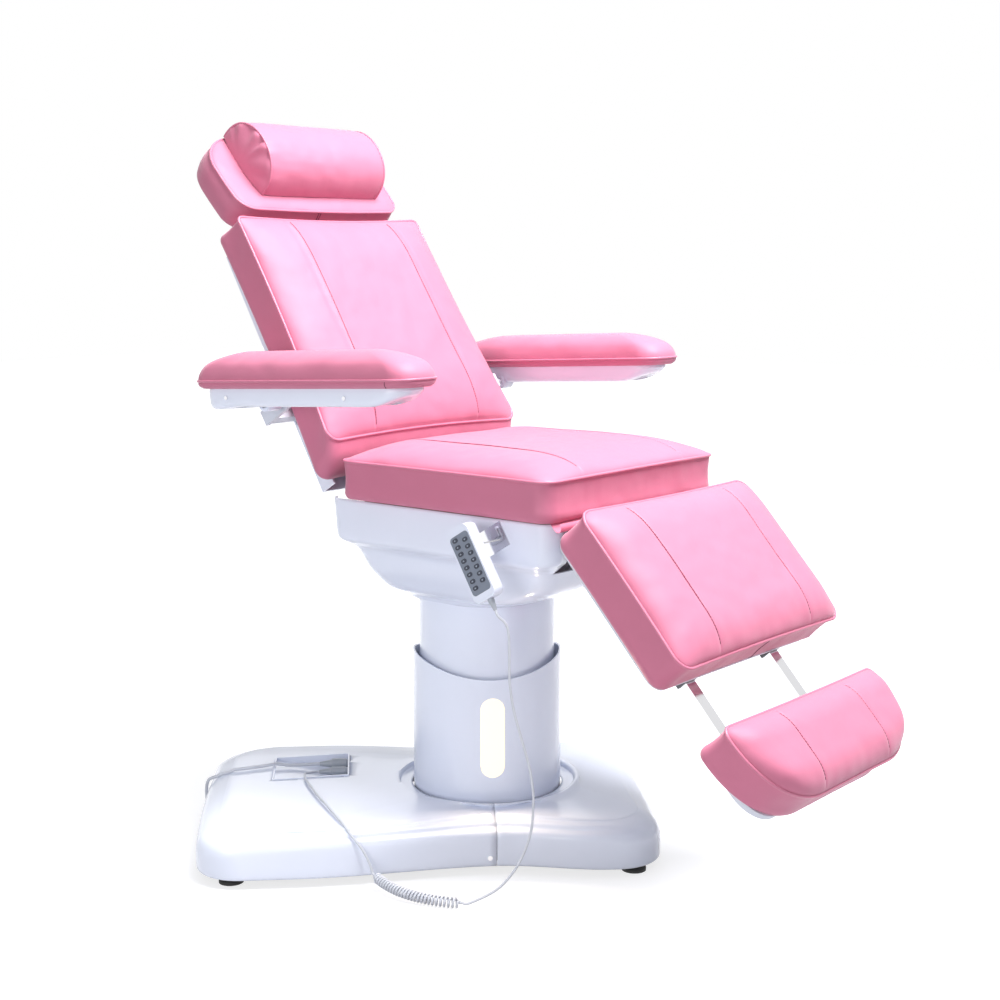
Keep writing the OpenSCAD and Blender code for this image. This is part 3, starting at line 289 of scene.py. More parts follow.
def hide_grain():
    """Pebbled grain with soft mottling."""
    tree, given, out = effect_group("hide_grain", {"Scale": 700, "Mottle Scale": 8}, ["Height", "Mottle"])
    where = add(tree, "ShaderNodeTexCoord").outputs["Object"]
    cells = add(tree, "ShaderNodeTexVoronoi", feature="DISTANCE_TO_EDGE")
    creases = add(tree, "ShaderNodeTexNoise", detail=3.0)
    mottle = add(tree, "ShaderNodeTexNoise", detail=4.0, roughness=0.6)
    for texture in (cells, creases, mottle):
        tree.links.new(where, texture.inputs["Vector"])
    tree.links.new(given.outputs["Scale"], cells.inputs["Scale"])
    tree.links.new(multiply(tree, given.outputs["Scale"], 0.3), creases.inputs["Scale"])
    tree.links.new(given.outputs["Mottle Scale"], mottle.inputs["Scale"])
    height = add(tree, "ShaderNodeMath", operation="ADD")
    tree.links.new(cells.outputs["Distance"], height.inputs[0])
    tree.links.new(multiply(tree, creases.outputs["Fac"], 0.6), height.inputs[1])
    tree.links.new(height.outputs[0], out.inputs["Height"])
    tree.links.new(mottle.outputs["Fac"], out.inputs["Mottle"])
    return tree


def moulded_skin():
    """Faint ripple of a moulded part, with smudges."""
    tree, given, out = effect_group("moulded_skin", {"Scale": 60, "Mottle Scale": 5}, ["Height", "Mottle"])
    where = add(tree, "ShaderNodeTexCoord").outputs["Object"]
    ripple = add(tree, "ShaderNodeTexNoise", detail=2.0)
    mottle = add(tree, "ShaderNodeTexNoise", detail=6.0, roughness=0.65)
    for texture, label in ((ripple, "Scale"), (mottle, "Mottle Scale")):
        tree.links.new(where, texture.inputs["Vector"])
        tree.links.new(given.outputs[label], texture.inputs["Scale"])
    tree.links.new(ripple.outputs["Fac"], out.inputs["Height"])
    tree.links.new(mottle.outputs["Fac"], out.inputs["Mottle"])
    return tree


def drawn_metal():
    """Fine scratches along the part's length."""
    tree, given, out = effect_group("drawn_metal", {"Scale": 900, "Mottle Scale": 12}, ["Height", "Mottle"])
    where = add(tree, "ShaderNodeTexCoord").outputs["Object"]
    stretch = add(tree, "ShaderNodeMapping")
    stretch.inputs["Scale"].default_value = (0.05, 1, 0.05)
    tree.links.new(where, stretch.inputs["Vector"])
    scratches = add(tree, "ShaderNodeTexNoise", detail=2.0)
    tree.links.new(stretch.outputs["Vector"], scratches.inputs["Vector"])
    tree.links.new(given.outputs["Scale"], scratches.inputs["Scale"])
    mottle = add(tree, "ShaderNodeTexNoise", detail=4.0)
    tree.links.new(where, mottle.inputs["Vector"])
    tree.links.new(given.outputs["Mottle Scale"], mottle.inputs["Scale"])
    tree.links.new(scratches.outputs["Fac"], out.inputs["Height"])
    tree.links.new(mottle.outputs["Fac"], out.inputs["Mottle"])
    return tree


GRAIN, MOULDED, DRAWN = hide_grain(), moulded_skin(), drawn_metal()


def finish(name, effect, colour, roughness, scale, depth, shade=0.9, spread=0.08, **sockets):
    """Finish whose colour and roughness drift with the effect's mottle and whose relief is its height."""
    material = bpy.data.materials.new(name)
    material.use_nodes = True
    tree = material.node_tree
    shader = tree.nodes["Principled BSDF"]
    for key, value in sockets.items():
        shader.inputs[key.replace("_", " ").title().replace("Ior", "IOR")].default_value = value
    texture = tree.nodes.new("ShaderNodeGroup")
    texture.node_tree = effect
    texture.inputs["Scale"].default_value = scale
    texture.inputs["Mottle Scale"].default_value = mottle_scale
    tint = add(tree, "ShaderNodeMix", data_type="RGBA")
    tint.inputs[6].default_value = (*[c * shade for c in colour], 1)
    tint.inputs[7].default_value = (*colour, 1)
    tree.links.new(texture.outputs["Mottle"], tint.inputs[0])
    tree.links.new(tint.outputs[2], shader.inputs["Base Color"])
    polish = add(tree, "ShaderNodeMapRange")
    polish.inputs["To Min"].default_value = roughness - spread / 2
    polish.inputs["To Max"].default_value = roughness + spread / 2
    tree.links.new(texture.outputs["Mottle"], polish.inputs["Value"])
    tree.links.new(polish.outputs["Result"], shader.inputs["Roughness"])
    relief = bump(tree, texture.outputs["Height"], depth)
    tree.links.new(relief.outputs["Normal"], shader.inputs["Normal"])
    return material


def rumple(material, scale, depth):
    """Broad, shallow unevenness under a finish's own relief."""
    tree = material.node_tree
    relief = next(node for node in tree.nodes if node.type == "BUMP")
    waves = add(tree, "ShaderNodeTexNoise", scale=scale, detail=1)
    tree.links.new(add(tree, "ShaderNodeTexCoord").outputs["Object"], waves.inputs["Vector"])
    broad = bump(tree, waves.outputs["Fac"], depth)
    tree.links.new(broad.outputs["Normal"], relief.inputs["Normal"])


PINK = (0.60, 0.185, 0.285)
WHITE = (0.82, 0.86, 0.98)
hide = finish("pink_hide", GRAIN, PINK, 0.55, 800, 0.0003, shade=0.93, sheen_weight=0.3, sheen_roughness=0.4,
              specular_ior_level=0.35)
hide.node_tree.nodes["Principled BSDF"].inputs["Sheen Tint"].default_value = (1, 0.9, 0.95, 1)
rumple(hide, 14, 0.012)
welt = finish("pink_welt", GRAIN, PINK, 0.36, 1200, 0.0002, shade=0.95)
thread = finish("mauve_thread", GRAIN, (0.18, 0.05, 0.09), 0.6, 2500, 0.0002)
white = finish("white_shell", MOULDED, WHITE, 0.2, 45, 0.0002, shade=0.97, spread=0.06, coat_weight=0.25,
               coat_roughness=0.06)
white_board = finish("white_board", MOULDED, (0.70, 0.72, 0.80), 0.4, 300, 0.0002, shade=0.94)
grey = finish("grey_plastic", MOULDED, (0.42, 0.45, 0.50), 0.35, 300, 0.0003, shade=0.85)
cord_skin = finish("pale_cord", MOULDED, (0.64, 0.66, 0.72), 0.36, 250, 0.0002, shade=0.9)
chrome = finish("bright_chrome", DRAWN, (0.78, 0.78, 0.80), 0.1, 900, 0.00005, shade=0.95, spread=0.06,
                metallic=1.0)
steel = finish("grey_steel", MOULDED, (0.10, 0.105, 0.115), 0.42, 500, 0.0003, shade=0.8)
white_steel = finish("white_steel", MOULDED, (0.70, 0.73, 0.80), 0.38, 500, 0.0003, shade=0.93)
black = finish("black_plastic", MOULDED, (0.02, 0.02, 0.022), 0.45, 400, 0.0003, shade=0.7)
rubber = finish("foot_rubber", GRAIN, (0.014, 0.014, 0.015), 0.62, 900, 0.0003, shade=0.7)
key_rubber = finish("key_rubber", GRAIN, (0.035, 0.042, 0.065), 0.5, 1500, 0.0001, shade=0.8)
overlay = finish("overlay_film", MOULDED, (0.20, 0.23, 0.29), 0.33, 400, 0.0001, shade=0.92)
mark = finish("key_mark", MOULDED, (0.36, 0.40, 0.48), 0.5, 400, 0.0001)
plywood = finish("seat_plywood", DRAWN, (0.46, 0.30, 0.16), 0.55, 300, 0.0004, shade=0.7)
glide = finish("glide_pad", MOULDED, (0.75, 0.72, 0.62), 0.45, 300, 0.0002)
light = finish("warm_diffuser", MOULDED, (0.36, 0.31, 0.22), 0.4, 200, 0.0001, emission_strength=1.1)
light.node_tree.nodes["Principled BSDF"].inputs["Emission Color"].default_value = (1.0, 0.87, 0.68, 1)
circuit = finish("light_board", MOULDED, (0.78, 0.78, 0.70), 0.5, 300, 0.0002)

CAD_FINISHES = {
    white: ["column_cover_lower", "column_cover_upper", "back_panel", "handset_shell", "socket_panel"],
    white_board: ["leg_board", "foot_board"],
    white_steel: ["seat_frame", "back_frame", "armrest_brackets"],
    # The leg frame takes the dark grey steel so that its brackets at the foot bars read dark under the leg
    # rest: painted shade. The other parts in this list are grey steel.
    steel: ["base_frame", "leg_frame", "lift_outer_tube", "lift_inner_tube", "swivel_bearing"],
    chrome: ["foot_bars", "handset_hook", "cover_screws", "hinge_pins", "lift_rod", "back_rod", "leg_rod",
             "kingpin_nut", "headrest_bracket"],
    black: ["control_box", "lift_actuator"],
    rubber: ["levelling_feet"],
    key_rubber: ["handset_keys"],
    overlay: ["handset_overlay"],
    plywood: ["seat_board"],
    glide: ["glide_pads"],
    light: ["led_diffuser"],
    circuit: ["led_board"],
    grey: ["back_actuator", "leg_actuator", "handset_plug", "mains_connector", "mains_plug",
           "handset_strain_relief"],
}


def finish_cad_nodes():
    for material, names in CAD_FINISHES.items():
        for name in names:
            cad[name].data.materials.clear()
            cad[name].data.materials.append(material)


finish_cad_nodes()


SOFT_EDGES = {
    "handset_shell": 0.003,
    "handset_keys": 0.0007,
    "handset_hook": 0.0008,
    "foot_bars": 0.002,
    "leg_frame": 0.0015,
    "leg_board": 0.0015,
    "foot_board": 0.003,
    "socket_panel": 0.0008,
}


def soften_cad_edges():
    for name, width in SOFT_EDGES.items():
        bevel = cad[name].modifiers.new("soft_edges", "BEVEL")
        bevel.width = width
        bevel.segments = 3
        bevel.limit_method = "ANGLE"
        bevel.angle_limit = math.radians(40)
        bevel.harden_normals = False


soften_cad_edges()


# Cords: the routes of the frame's own solids

hand_cord = 0.005
mains_cord = 0.007
relief_end = HANDSET @ Vector((0, -0.013, -0.099))
relief_way = (HANDSET.to_3x3() @ Vector((0, 0, -1))).normalized()
hang_way = Vector((0.06, 0.03, -1)).normalized()
hang_join = CHAIR @ Vector((0.342, -0.274, 0.223))
HANG = [(0.302, -0.303, 0.548), (0.305, -0.301, 0.505), (0.305, -0.300, 0.446), (0.311, -0.295, 0.388),
        (0.323, -0.287, 0.334), (0.336, -0.278, 0.276)]
DROP = [(0.339, -0.276, 0.153), (0.324, -0.287, 0.096), (0.304, -0.304, 0.055), (0.284, -0.324, 0.030)]
TAIL = [(-0.255, -0.311, 0.046), (-0.264, -0.307, 0.066), (-0.275, -0.305, 0.084), (-0.286, -0.300, 0.097),
        (-0.296, -0.288, 0.106), (-0.303, -0.276, 0.113), (-0.312, -0.256, 0.1175), (-0.326, -0.220, 0.1215),
        (-0.342, -0.172, 0.123), (-0.362, -0.108, 0.123), (-0.382, -0.032, 0.1225), (-0.391, 0.008, 0.122),
        (-0.393, 0.031, 0.124), (-0.391, 0.054, 0.119), (-0.383, 0.073, 0.1145)]
MAINS = [(-0.400, 0.138, 0.112), (-0.430, 0.132, 0.1135), (-0.452, 0.128, 0.118), (-0.464, 0.125, 0.120),
         (-0.480, 0.121, 0.118), (-0.505, 0.116, 0.1165), (-0.530, 0.111, 0.1155), (-0.548, 0.109, 0.1145),
         (-0.558, 0.108, 0.111), (-0.566, 0.108, 0.108), (-0.578, 0.109, 0.1055), (-0.588, 0.110, 0.100),
         (-0.598, 0.113, 0.096), (-0.607, 0.117, 0.0905), (-0.612, 0.120, 0.079), (-0.614, 0.125, 0.062),
         (-0.614, 0.130, 0.044), (-0.615, 0.142, 0.022), (-0.617, 0.160, 0.008), (-0.617, 0.186, 0.004),
         (-0.612, 0.220, 0.004), (-0.600, 0.256, 0.004), (-0.577, 0.290, 0.004), (-0.546, 0.317, 0.004),
         (-0.510, 0.333, 0.004), (-0.478, 0.339, 0.0038)]

curl_size = 0.022
curls = 28
CURL_AXIS = [
    Vector((-0.084, -0.432, 0.0113)),
    Vector((-0.200, -0.404, 0.0113)),
    Vector((-0.243, -0.326, 0.027)),
]
plug_end = -0.364
socket_z = 0.112
hand_plug_y, mains_plug_y = 0.085, 0.142

coil_middle = Vector((-0.440, 0.391, 0))
coil_loops = 3
coil_out = 0.052
coil_step = 0.0088
coil_lift = 0.0084
floor_gap = 0.0002
short_run, long_run = 0.008, 0.012


def curl_axis(t):
    a, b, c = CURL_AXIS
    return a * (1 - t) ** 2 + b * 2 * t * (1 - t) + c * t * t


def curl_way(t):
    a, b, c = CURL_AXIS
    return ((b - a) * (1 - t) + (c - b) * t).normalized()


def curl_route(steps_per_turn=16):
    steps = curls * steps_per_turn
    radius = (curl_size - hand_cord) / 2
    taper = steps_per_turn * 0.75
    route = [curl_axis(0) - curl_way(0) * hand_cord]
    for i in range(steps + 1):
        way = curl_way(i / steps)
        flat = way.cross(Vector((0, 0, 1))).normalized()
        a = 2 * math.pi * i / steps_per_turn
        r = radius * min(1, i / taper, (steps - i) / taper)
        route.append(curl_axis(i / steps) + r * (math.cos(a) * flat + math.sin(a) * flat.cross(way)))
    route.append(curl_axis(1) + curl_way(1) * hand_cord)
    return route


def coil_route(degrees=12):
    full = 360 * coil_loops
    inner = coil_out - coil_loops * coil_step
    route = []
    last = 2 * full + 180
    for a in range(0, last + 1, degrees):
        if a < full:
            r = coil_out - coil_step * a / 360
        else:
            r = inner + coil_step * max(0, a - full - 180) / 360
        lift = mains_cord / 2 + floor_gap + coil_lift * smooth((a - full) / 180)
        turn = math.radians(a)
        route.append(coil_middle + Vector((r * math.sin(turn), -r * math.cos(turn), lift)))
    along = Vector((mains_cord, 0, 0))
    return [route[0] - along, *route, route[-1] - along]


def cord_curve(name, route, diameter, node_name):
    data = bpy.data.curves.new(name, "CURVE")
    data.dimensions = "3D"
    data.bevel_depth = diameter / 2
    data.bevel_resolution = 3
    data.use_fill_caps = True
    spline = data.splines.new("POLY")
    spline.points.add(len(route) - 1)
    for point, place in zip(spline.points, route):
        point.co = (*place, 1)
    data.materials.append(cord_skin)
    made = bpy.data.objects.new(name, data)
    scene.collection.objects.link(made)
    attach(made, "base")
    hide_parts(node_name)
    return made


def hanging_cord(name, points, node_name):
    """A stretch that bends between two bodies, as a tube."""
    route = [Vector(p) for p in flowing(points, 6)]
    made = piece(name, tube(route, hand_cord / 2, 12), cord_skin, None)
    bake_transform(made)
    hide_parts(node_name)


def lying_route(points):
    """Smooth route of a stretch that lies on the base or the floor."""
    return [BASE @ Vector(p) for p in flowing([tuple(p) for p in points], 5)]


def make_handset_cord():
    curl = [BASE @ p for p in curl_route()]
    curl_start_way = (BASE.to_3x3() @ curl_way(0)).normalized()
    upper = [relief_end, relief_end + long_run * relief_way, *[CHAIR @ Vector(p) for p in HANG],
             hang_join - short_run * hang_way, hang_join]
    lower = [hang_join, hang_join + short_run * hang_way, *[CHAIR @ Vector(p) for p in DROP],
             curl[0] - long_run * curl_start_way, curl[0]]
    hanging_cord("handset_cord_top", upper, "handset_cord_upper")
    hanging_cord("handset_cord_drop", lower, "handset_cord_lower")
    curly = cord_curve("handset_cord_curls", curl, hand_cord, "handset_cord_curl")

    end = curl_route()[-1]
    tail = lying_route([
        end, end + short_run * curl_way(1), *TAIL,
        (plug_end - short_run, hand_plug_y, socket_z), (plug_end, hand_plug_y, socket_z),
    ])
    straight = cord_curve("handset_cord_end", tail, hand_cord, "handset_cord_tail")


def make_mains_cord():
    coil = coil_route()
    lead = lying_route([
        (plug_end, mains_plug_y, socket_z), (plug_end - short_run, mains_plug_y, socket_z), *MAINS,
        coil[0] - Vector((long_run, 0, 0)), coil[0],
    ])
    mains = cord_curve("mains_cord", lead, mains_cord, "mains_lead")
    coil = [BASE @ p for p in coil]
    wound = cord_curve("mains_cord_coil", coil, mains_cord, "mains_coil")
    tie = coil_tie()


def coil_tie():
    """Flat band round the coil's turns."""
    play, thick, half = 0.001, 0.0009, 0.004
    low, high = 0.0006, mains_cord + coil_lift + play
    inner = coil_out - coil_loops * coil_step - mains_cord / 2 - play
    outer = coil_out + mains_cord / 2 + play
    rings = []
    for x, grow in ((-half, 0), (-half, thick), (half, thick), (half, 0)):
        near, far, top = inner - grow, outer + grow, high + grow
        section = [(near, low), (far, low), (far, top), (near, top)]
        rings.append([coil_middle + Vector((x, -r, z)) for r, z in section])
    shape = loft([*rings, rings[0]], (False, False))
    return piece("coil_tie", placed(shape, BASE), black, "base")


make_handset_cord()
make_mains_cord()


# Upholstery

# Sewn line along a cushion: its groove, and the soft ridge beside it
groove_depth, groove_half, groove_fade = 0.0018, 0.0022, 0.01
ridge_height, ridge_off, ridge_half = 0.0008, 0.013, 0.009
gather_reach, gather_fade = 0.03, 0.006
hide_swell, swell_fade = 0.0022, 0.02
sewn_gap = 0.0002


def pucker(along, distance, reach, seed):
    """Small gathers that run in from a sewn edge."""
    wide = noise.noise(Vector((along * 30, seed, 0.3)))
    fine = noise.noise(Vector((along * 75, seed, 7.1)))
    pull = 0.65 * wide + 0.35 * fine
    loose = 0.6 + 0.6 * noise.noise(Vector((along * 6, seed, 2.7)))
    return pull * max(0.1, loose) * math.exp(-distance / reach)


def bulge(distance, reach):
    """Rise from 0 at an edge to 1 at reach from it, steep at first."""
    share = min(1, max(0, distance / reach))
    return (1 - (1 - share) ** 2.2) ** 0.62


@dataclass
class Pad:
    """Crowned cushion with boxed sides, a sewn edge round its top and sewn lines along it.

    It lies from x0 to x1, with widths w0 and w1 and corner radii r0 and r1 at those ends. Its outline is
    drawn in by draw, its sides rise by edge from low, and its crown is full at reach from the sewn edge.
    """

    place: Matrix
    x0: float
    x1: float
    w0: float
    w1: float
    r0: float
    r1: float
    draw: float
    low: float
    edge: float
    crown: float
    reach: float
    tuck: float = 0.006
    waist: float = 0.0025
    seam: float = 0.17
    seed: float = 1.0
    slant: float = 0.0
    puckers: float = 0.0022

    def plan(self, s, t):
        """Place in the outline of a point of the square from -1 to 1."""
        half_l, half_w = (self.x1 - self.x0) / 2, self.w0 / 2
        x, y = (self.x0 + self.x1) / 2 + s * half_l, t * half_w
        if x > self.x1 - self.r1:
            r, dx, sign = self.r1, x - (self.x1 - self.r1), 1
        else:
            r, dx, sign = self.r0, self.x0 + self.r0 - x, -1
        dy = abs(y) - (half_w - r)
        if dx > 0 and dy > 0:
            x -= sign * dx * (1 - math.sqrt(1 - (dy / r) ** 2 / 2))
            y -= math.copysign(dy * (1 - math.sqrt(1 - (dx / r) ** 2 / 2)), y)
        share = (x - self.x0) / (self.x1 - self.x0)
        middle = (self.x0 + self.x1) / 2
        y_in = y * (1 - self.draw * 4 * share * (1 - share) / half_w)
        x_in = middle + (x - middle) * (1 - self.draw * (1 - t * t) / half_l)
        return x_in, y_in * mix(1, self.w1 / self.w0, share)

    def top(self, s, t):
        """Point of the cover's top over a point of the square."""
        x, y = self.plan(s, t)
        end = (1 - abs(s)) * (self.x1 - self.x0) / 2
        side = (1 - abs(t)) * self.w0 / 2
        rise = self.crown * bulge(end, self.reach) * bulge(side, self.reach)
        away = min(end, side)
        fade = smooth(away / swell_fade)
        off = abs(abs(y) - self.seam)
        rise -= groove_depth * math.exp(-((off / groove_half) ** 2)) * smooth(end / groove_fade)
        rise += ridge_height * math.exp(-(((off - ridge_off) / ridge_half) ** 2)) * fade
        gather = pucker(y, end, gather_reach, self.seed) + pucker(x, side, gather_reach, self.seed + 5)
        rise += self.puckers * gather * smooth(away / gather_fade)
        rise += hide_swell * noise.noise(Vector((x * 7, y * 7, self.seed))) * fade
        return self.shaped(x, y, self.low + self.edge + rise)

    def shaped(self, x, y, z):
        """Point that leans along x the more, the higher it lies on the side."""
        share = min(1, max(0, (z - self.low) / self.edge))
        x += self.slant * share ** 2.5 * (self.x1 - x) / (self.x1 - self.x0)
        return Vector((x, y, z))

    def lines(self, half, extra):
        """Grid lines from -1 to 1, closer at the ends and beside the extra lines."""
        count, clear = 64, 0.012
        beside = (-0.009, -0.005, -0.0022, 0, 0.0022, 0.005, 0.009)
        even = [2 * i / count - 1 for i in range(count + 1)]
        values = [0.55 * v + 0.45 * math.sin(v * math.pi / 2) for v in even]
        for line in extra:
            values = [v for v in values if abs(abs(v) - line / half) > clear / half]
            for step in beside:
                values += [(line + step) / half, -(line + step) / half]
        return sorted(values)

    def grid(self):
        seams = [self.seam] if self.seam < self.w0 / 2 else []
        return self.lines((self.x1 - self.x0) / 2, []), self.lines(self.w0 / 2, seams)

    def rim(self):
        """Square places of the sewn edge, in order."""
        along, across = self.grid()
        near = [(s, -1) for s in along[:-1]]
        end = [(1, t) for t in across[:-1]]
        far = [(s, 1) for s in along[:0:-1]]
        start = [(-1, t) for t in across[:0:-1]]
        return near + end + far + start

    def side_rows(self):
        """Rows down the boxed side: share of its height, and distance in."""
        for f in (0.05, 0.14, 0.26, 0.42, 0.58, 0.74, 0.86, 0.93, 0.98, 1):
            waist = self.waist * math.sin(math.pi * min(1, f / 0.9))
            yield f, waist + self.tuck * max(0, (f - 0.86) / 0.14) ** 1.6

    def outward(self, rim):
        """Places of the sewn edge, and the way out at each."""
        places = [Vector(self.plan(*p)) for p in rim]
        ways = [(places[(i + 1) % len(places)] - places[i - 1]).normalized() for i in range(len(places))]
        return places, [Vector((w.y, -w.x)) for w in ways]

    def shape(self):
        along, across = self.grid()
        points = [self.top(s, t) for s in along for t in across]
        n = len(across)
        faces = sheet_faces(len(along), n)
        rim = self.rim()
        ring = [along.index(s) * n + across.index(t) for s, t in rim]
        places, ways = self.outward(rim)
        length = 0
        lengths = []
        for i, p in enumerate(places):
            length += (p - places[i - 1]).length if i else 0
            lengths.append(length)
        for f, inset in self.side_rows():
            z = self.low + self.edge * (1 - f)
            start = len(points)
            for p, way, a in zip(places, ways, lengths):
                pull = pucker(a, f * self.edge, gather_reach, self.seed + 11)
                crease = self.puckers * pull * smooth(f / 0.1)
                q = p - way * (inset - crease)
                points.append(self.shaped(q.x, q.y, z))
            count = len(ring)
            faces += [
                (ring[i], start + i, start + (i + 1) % count, ring[(i + 1) % count])
                for i in range(count)
            ]
            ring = list(range(start, start + count))
        faces.append(tuple(reversed(ring)))
        return points, faces

    def piping(self, radius=0.003):
        out = 0.0006
        z = self.low + self.edge + sewn_gap
        path = [self.shaped(*(p + out * w), z) for p, w in zip(*self.outward(self.rim()))]
        return tube(path, radius, 10, closed=True)

    def stitches(self, pitch=0.006, length=0.0048, radius=0.0009):
        margin, rise = 0.015, 0.0005
        shapes = []
        whole = self.x1 - self.x0
        count = int((whole - 2 * margin) / pitch)
        reach = length / whole
        for side in (-1, 1):
            t = side * self.seam / (self.w0 / 2)
            for k in range(count):
                middle = 2 * (margin + (k + 0.5) * pitch) / whole - 1
                path = [
                    self.top(middle + reach * d, t) + Vector((0, 0, rise * (1 - d * d)))
                    for d in (-1, 0, 1)
                ]
                shapes.append(tube(path, radius, 5))
        return together(shapes)

    def boxing_seam(self, s, t, radius=0.0008):
        """Sewn joint down the boxed side, at a place of the sewn edge."""
        step, proud = 0.01, 0.0003
        at_end = abs(s) == 1
        ds, dt = (0, step) if at_end else (step, 0)
        way = Vector(self.plan(s + ds, t + dt)) - Vector(self.plan(s - ds, t - dt))
        way.normalize()
        out = Vector((way.y, -way.x)) * (s if at_end else -t)
        place = Vector(self.plan(s, t))
        path = []
        for f, inset in self.side_rows():
            q = place - out * (inset - proud)
            path.append(self.shaped(q.x, q.y, self.low + self.edge * (1 - f)))
        return tube(path, radius, 6)


def upholster(name, pad, body, node_name, seams=True, joints=()):
    cover = piece(name, placed(pad.shape(), pad.place), hide, body, sharp=70)
    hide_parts(node_name)
    piece(name + "_piping", placed(pad.piping(), pad.place), welt, body)
    sewn = [pad.boxing_seam(*place) for place in joints]
    if seams:
        sewn.append(pad.stitches())
    piece(name + "_stitching", placed(together(sewn), pad.place), thread, body)


seat_pad = Pad(
    CHAIR, x0=-0.155, x1=0.384, w0=0.580, w1=0.580, r0=0.038, r1=0.038, draw=0.004, low=0.7471, edge=0.077,
    crown=0.042, reach=0.148, seam=0.170, seed=1.3, puckers=0.0036,
)
back_pad = Pad(
    BACK @ STANDING, x0=0.044, x1=0.636, w0=0.602, w1=0.556, r0=0.034, r1=0.016, draw=0.010, low=-0.007,
    edge=0.079, crown=0.038, reach=0.150, seam=0.165, seed=2.9, slant=0.056,
)
leg_pad = Pad(
    LEG, x0=0.0175, x1=0.362, w0=0.572, w1=0.572, r0=0.034, r1=0.034, draw=0.004, low=0.0121, edge=0.080,
    crown=0.034, reach=0.090, seam=0.165, seed=4.1,
)
foot_pad = Pad(
    LEG, x0=0.480, x1=0.655, w0=0.552, w1=0.552, r0=0.022, r1=0.150, draw=0.002, low=0.0126, edge=0.074,
    crown=0.032, reach=0.060, tuck=0.003, seam=0.124, seed=6.7,
)
upholster("seat_cover", seat_pad, "chair", "seat_cushion")
upholster("back_cover", back_pad, "back", "back_cushion")
upholster("leg_cover", leg_pad, "leg", "leg_cushion", joints=[(1, 0.12)])
upholster("foot_cover", foot_pad, "foot", "foot_cushion")


# Headrest and its pillow

head_pad = Pad(
    HEAD @ STANDING, x0=0.010, x1=0.213, w0=0.484, w1=0.484, r0=0.036, r1=0.088, draw=-0.006, low=-0.004,
    edge=0.072, crown=0.008, reach=0.05, tuck=0.013, waist=-0.006, seam=1.0, seed=8.3,
)
upholster("headrest_cover", head_pad, "headrest", "headrest_cushion", seams=False,
          joints=[(-1, 0.052), (-1, 0.078)])

pillow_length, pillow_height, pillow_depth = 0.360, 0.180, 0.088
pillow_low, pillow_back = 0.046, 0.0763
front_steps, flat_steps = 80, 10
# Share of the section, distance in from the pillow's end, and depth of the gathers
PILLOW_END = [
    (0.03, -0.010, 0), (0.3, -0.009, 0), (0.55, -0.007, 0.0008), (0.75, -0.003, 0.0026),
    (0.88, 0.000, 0.0036), (0.95, 0.003, 0.0022), (0.967, 0.0048, 0), (0.978, 0.010, 0),
    (0.99, 0.02, 0), (0.997, 0.035, 0), (1, 0.06, 0), (1, 0.09, 0), (1, 0.12, 0), (1, 0.15, 0),
]


def pillow_section(share, y, gather):
    """D-shaped ring of the pillow, flat side to the headrest."""
    middle = pillow_low + pillow_height / 2
    ring = []
    for i in range(front_steps + 1):
        a = math.pi * (i / front_steps - 0.5)
        fold = gather * math.sin(0.44 * i + 1.2 * math.sin(0.17 * i)) * math.cos(a)
        deep = share * pillow_depth * max(0, math.cos(a)) ** 0.8
        ring.append(Vector((pillow_back + deep, y + fold, middle + share * pillow_height / 2 * math.sin(a))))
    for i in range(1, flat_steps):
        ring.append(Vector((pillow_back, y, middle + share * pillow_height * (0.5 - i / flat_steps))))
    return ring


def make_pillow():
    half = pillow_length / 2
    set_down = HEAD @ shifted(0, 0.005, -0.006)
    rings = []
    for share, inset, gather in flowing(PILLOW_END, 2):
        rings.append(pillow_section(share, half - inset, gather))
    near = [[Vector((p.x, -p.y, p.z)) for p in ring] for ring in reversed(rings)]
    for ring in near:
        for i, p in enumerate(ring[1:front_steps]):
            p.x += 0.0012 * noise.noise(Vector((i * 0.2, p.y * 18, 5.5)))
    shape = placed(loft(rings + near), set_down)
    cover = piece("pillow_cover", shape, hide, "headrest", sharp=75)
    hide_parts("head_pillow")
    welt_in, welt_radius = 0.0045, 0.0024
    welts = [
        tube(pillow_section(0.97, side * (half - welt_in), 0), welt_radius, 8, closed=True)
        for side in (-1, 1)
    ]
    piece("pillow_piping", placed(together(welts), set_down), welt, "headrest")


make_pillow()


# Armrests

arm_rear, arm_length, arm_width, arm_seam = -0.143, 0.592, 0.116, 0.034
arm_front = arm_rear + arm_length
arm_corner = 0.046
tray_gap, sewn_height = 0.0001, 0.015


def rounded_loop(x0, x1, width, r, arc=14, straight=40):
    """Outline of a rounded rectangle, anticlockwise from the near side of its front end."""
    loop = []
    inner, shortest = width / 2 - r, 0.01
    corners = ((x1 - r, -inner, -90), (x1 - r, inner, 0), (x0 + r, inner, 90), (x0 + r, -inner, 180))
    for k, (x, y, start) in enumerate(corners):
        for i in range(arc + 1):
            a = math.radians(start + 90 * i / arc)
            loop.append((x + r * math.cos(a), y + r * math.sin(a)))
        nx, ny, turn = corners[(k + 1) % 4]
        a = math.radians(turn)
        ahead = (nx + r * math.cos(a), ny + r * math.sin(a))
        behind = loop[-1]
        if (Vector(ahead) - Vector(behind)).length > shortest:
            loop += [tuple(Vector(behind).lerp(Vector(ahead), i / straight)) for i in range(1, straight)]
    return loop


def drawn_in(loop, inset, z, stretch=1.0):
    """The loop at a height, made smaller by an inset that is stretched along x."""
    xs, ys = zip(*loop)
    half_x, half_y = (max(xs) - min(xs)) / 2, (max(ys) - min(ys)) / 2
    middle = (max(xs) + min(xs)) / 2
    along, across = 1 - inset * stretch / half_x, 1 - inset / half_y
    return [Vector((middle + (x - middle) * along, y * across, z)) for x, y in loop]


def disc_ring(radius, y, x=0, z=0, sides=32):
    """Ring round an axis along y."""
    turns = [2 * math.pi * k / sides for k in range(sides)]
    return [Vector((x + radius * math.cos(a), y, z + radius * math.sin(a))) for a in turns]


